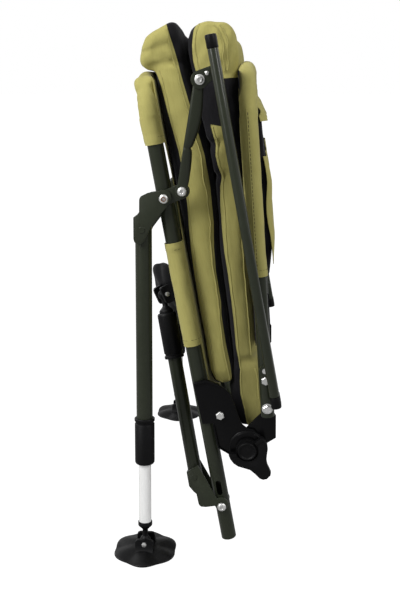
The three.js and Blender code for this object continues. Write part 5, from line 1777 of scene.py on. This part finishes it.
class BANKCHAIR_OT_knobs(bpy.types.Operator):
    """Lever knobs: a horned crescent with a tail and a raised hub ring"""

    bl_idname = "bank_chair.knobs"
    bl_label = "Lever knobs"

    def execute(self, context):
        s = sizes()
        outline = [
            (-1.1, -27.2), (-9.1, -26.4), (-16.8, -22.5), (-22.3, -16.9), (-26.8, -7.5), (-30.2, -0.8),
            (-37.4, 5.3),
            (-45.3, 10.6), (-48.1, 15.3), (-47.6, 21.1), (-42.8, 27), (-39, 28.3), (-33.3, 27),
            (-26.7, 25.1),
            (-18.7, 24.9), (-9.6, 27.1), (-2.1, 29.4), (5.7, 29.7), (11.5, 27.5), (16.6, 24),
            *arc(0, 0, 15.6, 50, 262, 30),
        ]
        step = [(-1.1, -27.2), (-5, -27), (-7, -15.6), (-1.6, -15.4)]
        tip = [(16.6, 24), (12.6, 27.2), (7.4, 15.2), (10.4, 12.2)]
        for label, side in SIDES:
            y = side * (s.half + s.knob_inner)
            body = plate("crescent", outline, y, y + side * 9.5, 1.5)
            horns = [plate("horn", points, y, y + side * 10.7, 0.9) for points in (step, tip)]
            hub = turned("hub", [
                (16.4, 0), (16.4, 5.6), (13.7, 5.8), (13.5, 10.2), (13.2, 11.6), (12.5, 12.4), (11.4, 12.4),
                (10.6, 11.8), (10.1, 10.7), (9.6, 10.4), (4, 10.6), (0.4, 10.7),
            ], 56)
            knob = joined(body, *horns, along_y(hub, side, y))
            settle(
                knob, f"knob_{label}", chair_frame(s) @ shift(s.recline_forward, 0, s.recline_height),
                "black_plastic", f"lever_knob_{label}", f"recline_knob_{label}",
            )
        return {"FINISHED"}


def oval_bar(name, width, thickness, low, high, bevel):
    """An oval bar along x whose wide side lies in y."""
    straight, round_end = (width - thickness) / 2, thickness / 2
    bar = plate(name, strap(-straight, 0, round_end, straight, 0, round_end), low, high, bevel)
    return moved(bar, turn(-90, "Z"))


class BANKCHAIR_OT_arms(bpy.types.Operator):
    """Oval arm tubes with their ears, lugs and end caps"""

    bl_idname = "bank_chair.arms"
    bl_label = "Arms"

    def execute(self, context):
        s = sizes()
        frame_at = arm_frame_of(s)
        tip = chair_frame(s) @ Vector((s.strut_top_forward * MM, 0, s.strut_top_height * MM))
        ear = frame_at.inverted() @ tip / MM
        for label, side in SIDES:
            y = side * s.half
            middle = shift(0, y + side * s.arm_side, s.arm_height)
            inner = y + side * s.arm_inner
            bar = oval_bar("bar", s.arm_width, s.arm_thickness, -s.arm_overhang, s.arm_reach, 0.3)
            moved(bar, middle)
            ear_plate = plate(
                "ear", strap(ear.x, ear.z, 11.5, ear.x + 9, s.arm_height, s.arm_thickness / 2 - s.gap),
                inner, inner + side * 3, 0.5,
            )
            lug = plate(
                "lug", strap(0, 0, 8, 0, s.arm_height - s.arm_thickness / 4, 8), y + side * s.lug_inner,
                inner + side * 3, 0.4,
            )
            pip = turned("pip", [(2.6, 0), (2.8, 0.4), (2.6, 1.6), (1.4, 2.3), (0.3, 2.5)], 20)
            moved(along_y(pip, side, inner + side * 3), shift(ear.x + 6, 0, ear.z + 10.5))
            arm = joined(bar, ear_plate, lug)
            body = f"arm_{label}"
            settle(arm, f"arm_{label}", frame_at, "olive_paint", body, f"arm_tube_{label}")
            settle(pip, f"arm_ear_rivet_{label}", frame_at, "zinc", body)
            for end, at, heading in (("front", s.arm_reach, 1), ("rear", -s.arm_overhang, -1)):
                cap = oval_bar("cap", s.arm_width + 1.2, s.arm_thickness + 1.2, s.gap, s.arm_cap, 1.3)
                plug = oval_bar("plug", s.arm_width - 4, s.arm_thickness - 4, -12, 1, 0.3)
                cap = joined(cap, plug)
                if heading < 0:
                    moved(cap, turn(180, "Z"))
                place = frame_at @ shift(at, y + side * s.arm_side, s.arm_height)
                settle(
                    cap, f"arm_cap_{end}_{label}", place, "black_plastic", body, f"arm_{end}_cap_{label}"
                )
        return {"FINISHED"}


class BANKCHAIR_OT_struts(bpy.types.Operator):
    """Cranked struts with their crimps, and the plates that carry them"""

    bl_idname = "bank_chair.struts"
    bl_label = "Arm struts"

    def execute(self, context):
        s = sizes()
        run = Vector((s.strut_top_forward - s.strut_base_forward, s.strut_top_height - s.strut_base_height))
        long, rest = run.length, math.degrees(math.atan2(run.y, run.x))
        crank = s.strut_top_inner - s.strut_inner
        stations = [
            (0.02, 15, 5, 0), (0.05, 15, 5, 0), (0.12, 15.4, 6, 0.03), (0.2, 15.2, 9, 0.12),
            (0.3, 14.4, 12, 0.26),
            (0.36, 13.4, 12.3, 0.36), (0.385, 12.2, 12.3, 0.38), (0.395, 10.8, 11.2, 0.39),
            (0.405, 10.8, 11.2, 0.41),
            (0.42, 12.8, 12.5, 0.43), (0.47, 14.6, 12.5, 0.52), (0.55, 17, 11, 0.66), (0.64, 18.6, 9, 0.8),
            (0.76, 18, 7, 0.92), (0.88, 15.6, 5.6, 1), (0.95, 14.4, 5, 1), (0.98, 14.2, 5, 1),
        ]
        for label, side in SIDES:
            y = side * s.half

            def ring(along, width, thick, crank_share):
                middle = s.strut_inner + s.strut_sheet / 2 + crank_share * crank
                points = []
                for i in range(28):
                    angle = 2 * math.pi * (i + 0.5) / 28
                    cosine, sine = math.cos(angle), math.sin(angle)
                    square = (abs(cosine) ** 3 + abs(sine) ** 3) ** (-1 / 3) * 0.94
                    points.append((
                        along * long, y + side * (middle + thick / 2 * square * cosine),
                        (width - 16) / 2 + width / 2 * square * sine,
                    ))
                return points

            fine = []
            for one, two in zip(stations, stations[1:]):
                for k in range(3):
                    share = k / 3
                    fine.append([a + (b - a) * share for a, b in zip(one, two)])
            fine.append(list(stations[-1]))
            body = lofted("strut", [ring(*row) for row in fine])
            low, high = y + side * s.strut_inner, y + side * s.strut_top_inner
            eye = plate("eye", arc(0, 0, 9.5, 0, 345, 23), low, low + side * s.strut_sheet, 0.5)
            top = plate("eye", arc(long, 0, 9.5, 0, 345, 23), high, high + side * s.strut_sheet, 0.5)
            nut = moved(along_y(hexagon("nut", 6.6, 5), -side, high), shift(long, 0, 0))
            strut = joined(body, eye, top, nut)
            place = chair_frame(s) @ shift(s.strut_base_forward, 0, s.strut_base_height) @ turn(-rest, "Y")
            settle(
                strut, f"arm_strut_{label}", place, "olive_paint", f"armrest_strut_{label}",
                f"strut_{label}",
            )
            carrier = plate(
                "plate", strap(s.front_pivot, 0, 10, s.strut_base_forward, s.strut_base_height, 10),
                y + side * s.strut_plate_inner, y + side * s.strut_plate_outer, 0.4,
            )
            settle(
                carrier, f"strut_carrier_{label}", chair_frame(s), "olive_paint", "seat_frame",
                f"strut_plate_{label}",
            )
        return {"FINISHED"}


class BANKCHAIR_OT_bolts(bpy.types.Operator):
    """Plated pivot bolts with their washers and nuts"""

    bl_idname = "bank_chair.bolts"
    bl_label = "Bolts"

    def pivot(self, s, side, outer, inner):
        """A button-head bolt from its head's face to its nut's, both measured from the rail's axis."""
        head = along_y(button("head", s.bolt_head / 2, 4), side, side * outer)
        shank = turned("shank", [(4, inner - 2), (4, outer + 1)], 24)
        moved(shank, turn(90 * side, "Z"))
        nut = along_y(hexagon("nut", s.bolt_head / 2, 5), -side, side * inner)
        return joined(head, shank, nut)

    def execute(self, context):
        s = sizes()
        chair = chair_frame(s)
        for label, side in SIDES:
            y = side * s.half
            lean = FRONT_EYE * math.sin(math.radians(FRONT_LEG_SPLAY))
            outer = s.front_cheek + s.bracket_sheet + lean
            at = chair @ shift(s.front_pivot, y, 0)
            settle(
                self.pivot(s, side, outer, -outer), f"front_pivot_{label}", at, "zinc", "seat_frame",
                f"front_leg_bolt_{label}",
            )
            bush = turned("bush", [(2.2, 0), (3.3, 0), (3.3, 0.5), (2.2, 0.5), (2.2, 0)], 28)
            along_y(bush, side, side * (outer + 3.8))
            settle(bush, f"front_pivot_bush_{label}", at, "bronze", "seat_frame")
            lean = REAR_EYE * math.sin(math.radians(REAR_LEG_SPLAY))
            outer = s.rear_cheek + s.bracket_sheet + lean
            settle(
                self.pivot(s, side, outer, -outer), f"rear_pivot_{label}",
                chair @ shift(s.rear_hinge, y, 0), "zinc", "seat_frame", f"rear_leg_bolt_{label}",
            )
            outer = s.strut_inner + s.strut_sheet + s.gap
            at = chair @ shift(s.strut_base_forward, y, s.strut_base_height)
            settle(
                self.pivot(s, side, outer, s.strut_plate_inner - s.gap), f"strut_pivot_{label}", at,
                "zinc", "seat_frame", f"strut_base_bolt_{label}",
            )
            face = y + side * (s.arm_inner + 3 + s.gap)
            rim = turned("rim", [(5.6, 0), (6.4, 0.3), (6.4, 1.5), (5.8, 1.9), (4, 1.9)], 36)
            top = joined(along_y(rim, side, face), along_y(button("head", 5, 4), side, face))
            settle(
                top, f"strut_top_{label}", chair @ shift(s.strut_top_forward, 0, s.strut_top_height),
                "zinc", f"arm_{label}", f"strut_top_bolt_{label}",
            )
            face = y + side * (s.back_side + s.back_radius + s.gap)
            inside = y + side * (s.back_plate_inner - s.gap)
            shank = turned("shank", [(4, 0), (4, abs(face - inside) + 1)], 24)
            washer = turned("washer", [(6.9, 0), (7.6, 0.2), (7.6, 1.2), (7.2, 1.4), (5, 1.4)], 40)
            large = joined(
                along_y(washer, side, face),
                along_y(hexagon("head", 6.4, 5), side, face),
                along_y(hexagon("nut", 6.4, 4), -side, inside),
                along_y(shank, side, inside),
            )
            settle(
                large, f"back_bolt_{label}", back_frame_of(s) @ shift(65.4, 0, s.back_tube_offset),
                "zinc", "backrest", f"back_plate_bolt_{label}",
            )
            dress(f"arm_pivot_bolt_{label}", "zinc")
            dress(f"recline_bolt_{label}", "zinc")
        return {"FINISHED"}


# Stage


class BANKCHAIR_OT_stage(bpy.types.Operator):
    """Camera, soft lamps, white floor and world"""

    bl_idname = "bank_chair.stage"
    bl_label = "Stage"

    def lamp(self, name, place, aim, size, power):
        deselect()
        bpy.ops.object.light_add(type="AREA", location=place)
        lamp = bpy.context.object
        lamp.name = name
        lamp.rotation_euler = (Vector(aim) - Vector(place)).to_track_quat("-Z", "Y").to_euler()
        lamp.data.shape = "RECTANGLE"
        lamp.data.size, lamp.data.size_y = size
        lamp.data.energy = power

    def rays(self, recipe):
        """Which rays come straight from the camera, and which were mirrored on their way."""
        outputs = recipe.node("ShaderNodeLightPath").socket.node.outputs
        straight, through, mirrored = (
            Value(recipe, outputs[name]) for name in ("Is Camera Ray", "Is Transmission Ray", "Is Glossy Ray")
        )
        return straight.above(through), mirrored

    def backdrop(self, context, settings):
        tone = list(context.scene.bank_chair_finishes.floor)
        deselect()
        bpy.ops.mesh.primitive_circle_add(vertices=96, radius=60, fill_type="NGON")
        floor = bpy.context.object
        floor.name = "floor"
        recipe = Recipe("floor")
        direct, mirrored = self.rays(recipe)
        seen = direct.above(mirrored)
        matt = recipe.node("ShaderNodeBsdfDiffuse", {"Color": [c * 0.6 for c in tone]})
        bright = recipe.node("ShaderNodeEmission", {"Color": tone, "Strength": direct * 0.75 + 0.45})
        both = recipe.node("ShaderNodeMixShader", {0: seen * 0.87, 1: matt, 2: bright})
        recipe.node("ShaderNodeOutputMaterial", {"Surface": both})
        floor.data.materials.append(recipe.material)
        world = bpy.data.worlds.new("studio")
        context.scene.world = world
        world.use_nodes = True
        recipe.tree = world.node_tree
        recipe.tree.nodes.clear()
        direct, mirrored = self.rays(recipe)
        right, away, _ = recipe.parts(recipe.node("ShaderNodeTexCoord", output="Generated"))
        dark_room = (0 - away).clamped() * 0.6
        strip = ((0.12 - abs(right + 0.7)) * 16).clamped() * 3
        strength = direct + mirrored * (1 - dark_room + strip)
        strength = strength + (1 - direct.above(mirrored)) * settings.world_light
        sky = recipe.node("ShaderNodeBackground", {"Color": (1, 1, 1), "Strength": strength})
        recipe.node("ShaderNodeOutputWorld", {"Surface": sky})

    def execute(self, context):
        s, settings = sizes(), context.scene.bank_chair_stage
        start = chair_frame(s).translation
        deselect()
        bpy.ops.object.camera_add()
        camera = bpy.context.object
        camera.name = "camera"
        camera.location = (start.x + settings.camera_right, -settings.camera_away, settings.camera_height)
        camera.rotation_euler = (settings.camera_tilt, 0, settings.camera_turn)
        camera.data.lens = settings.camera_lens
        camera.data.sensor_width = 36  # millimetres, as the focal length is
        context.scene.camera = camera
        self.lamp("key", (-1.35, -1.25, 1.75), (0, 0, 0.5), (0.6, 1.2), settings.key_power)
        self.lamp("fill", (1.2, -0.8, 1.7), (0, 0, 0.55), (0.5, 1.0), settings.fill_power)
        self.backdrop(context, settings)
        context.scene.view_settings.view_transform = "Standard"
        return {"FINISHED"}


MAKERS = (
    BANKCHAIR_OT_stage,
    BANKCHAIR_OT_seat_frame,
    BANKCHAIR_OT_back_frame,
    BANKCHAIR_OT_front_legs,
    BANKCHAIR_OT_rear_legs,
    BANKCHAIR_OT_telescopes,
    BANKCHAIR_OT_mud_feet,
    BANKCHAIR_OT_hinges,
    BANKCHAIR_OT_knobs,
    BANKCHAIR_OT_arms,
    BANKCHAIR_OT_struts,
    BANKCHAIR_OT_bolts,
    BANKCHAIR_OT_seat_sling,
    BANKCHAIR_OT_back_sling,
    BANKCHAIR_OT_rear_pocket,
    BANKCHAIR_OT_seat_cushion,
    BANKCHAIR_OT_back_cushion,
)


class BANKCHAIR_PT_panel(bpy.types.Panel):
    """Lists the chair's makers and sizes"""

    bl_idname = "BANKCHAIR_PT_panel"
    bl_label = "Bank chair"
    bl_space_type = "VIEW_3D"
    bl_region_type = "UI"
    bl_category = "Bank chair"

    def draw(self, context):
        for maker in MAKERS:
            self.layout.operator(maker.bl_idname, text=maker.bl_label)
        for group in GROUPS:
            values = getattr(context.scene, group)
            box = self.layout.box()
            for name in names_of(values):
                box.prop(values, name)


def register():
    for one in (*GROUPS.values(), *MAKERS, BANKCHAIR_PT_panel):
        bpy.utils.register_class(one)
    for name, group in GROUPS.items():
        setattr(bpy.types.Scene, name, bpy.props.PointerProperty(type=group))


def unregister():
    for name in GROUPS:
        delattr(bpy.types.Scene, name)
    for one in (BANKCHAIR_PT_panel, *MAKERS, *GROUPS.values()):
        bpy.utils.unregister_class(one)


def main():
    """Builds every piece."""
    register()
    for maker in MAKERS:
        group, name = maker.bl_idname.split(".")
        getattr(getattr(bpy.ops, group), name)()


if __name__ == "__main__":
    main()
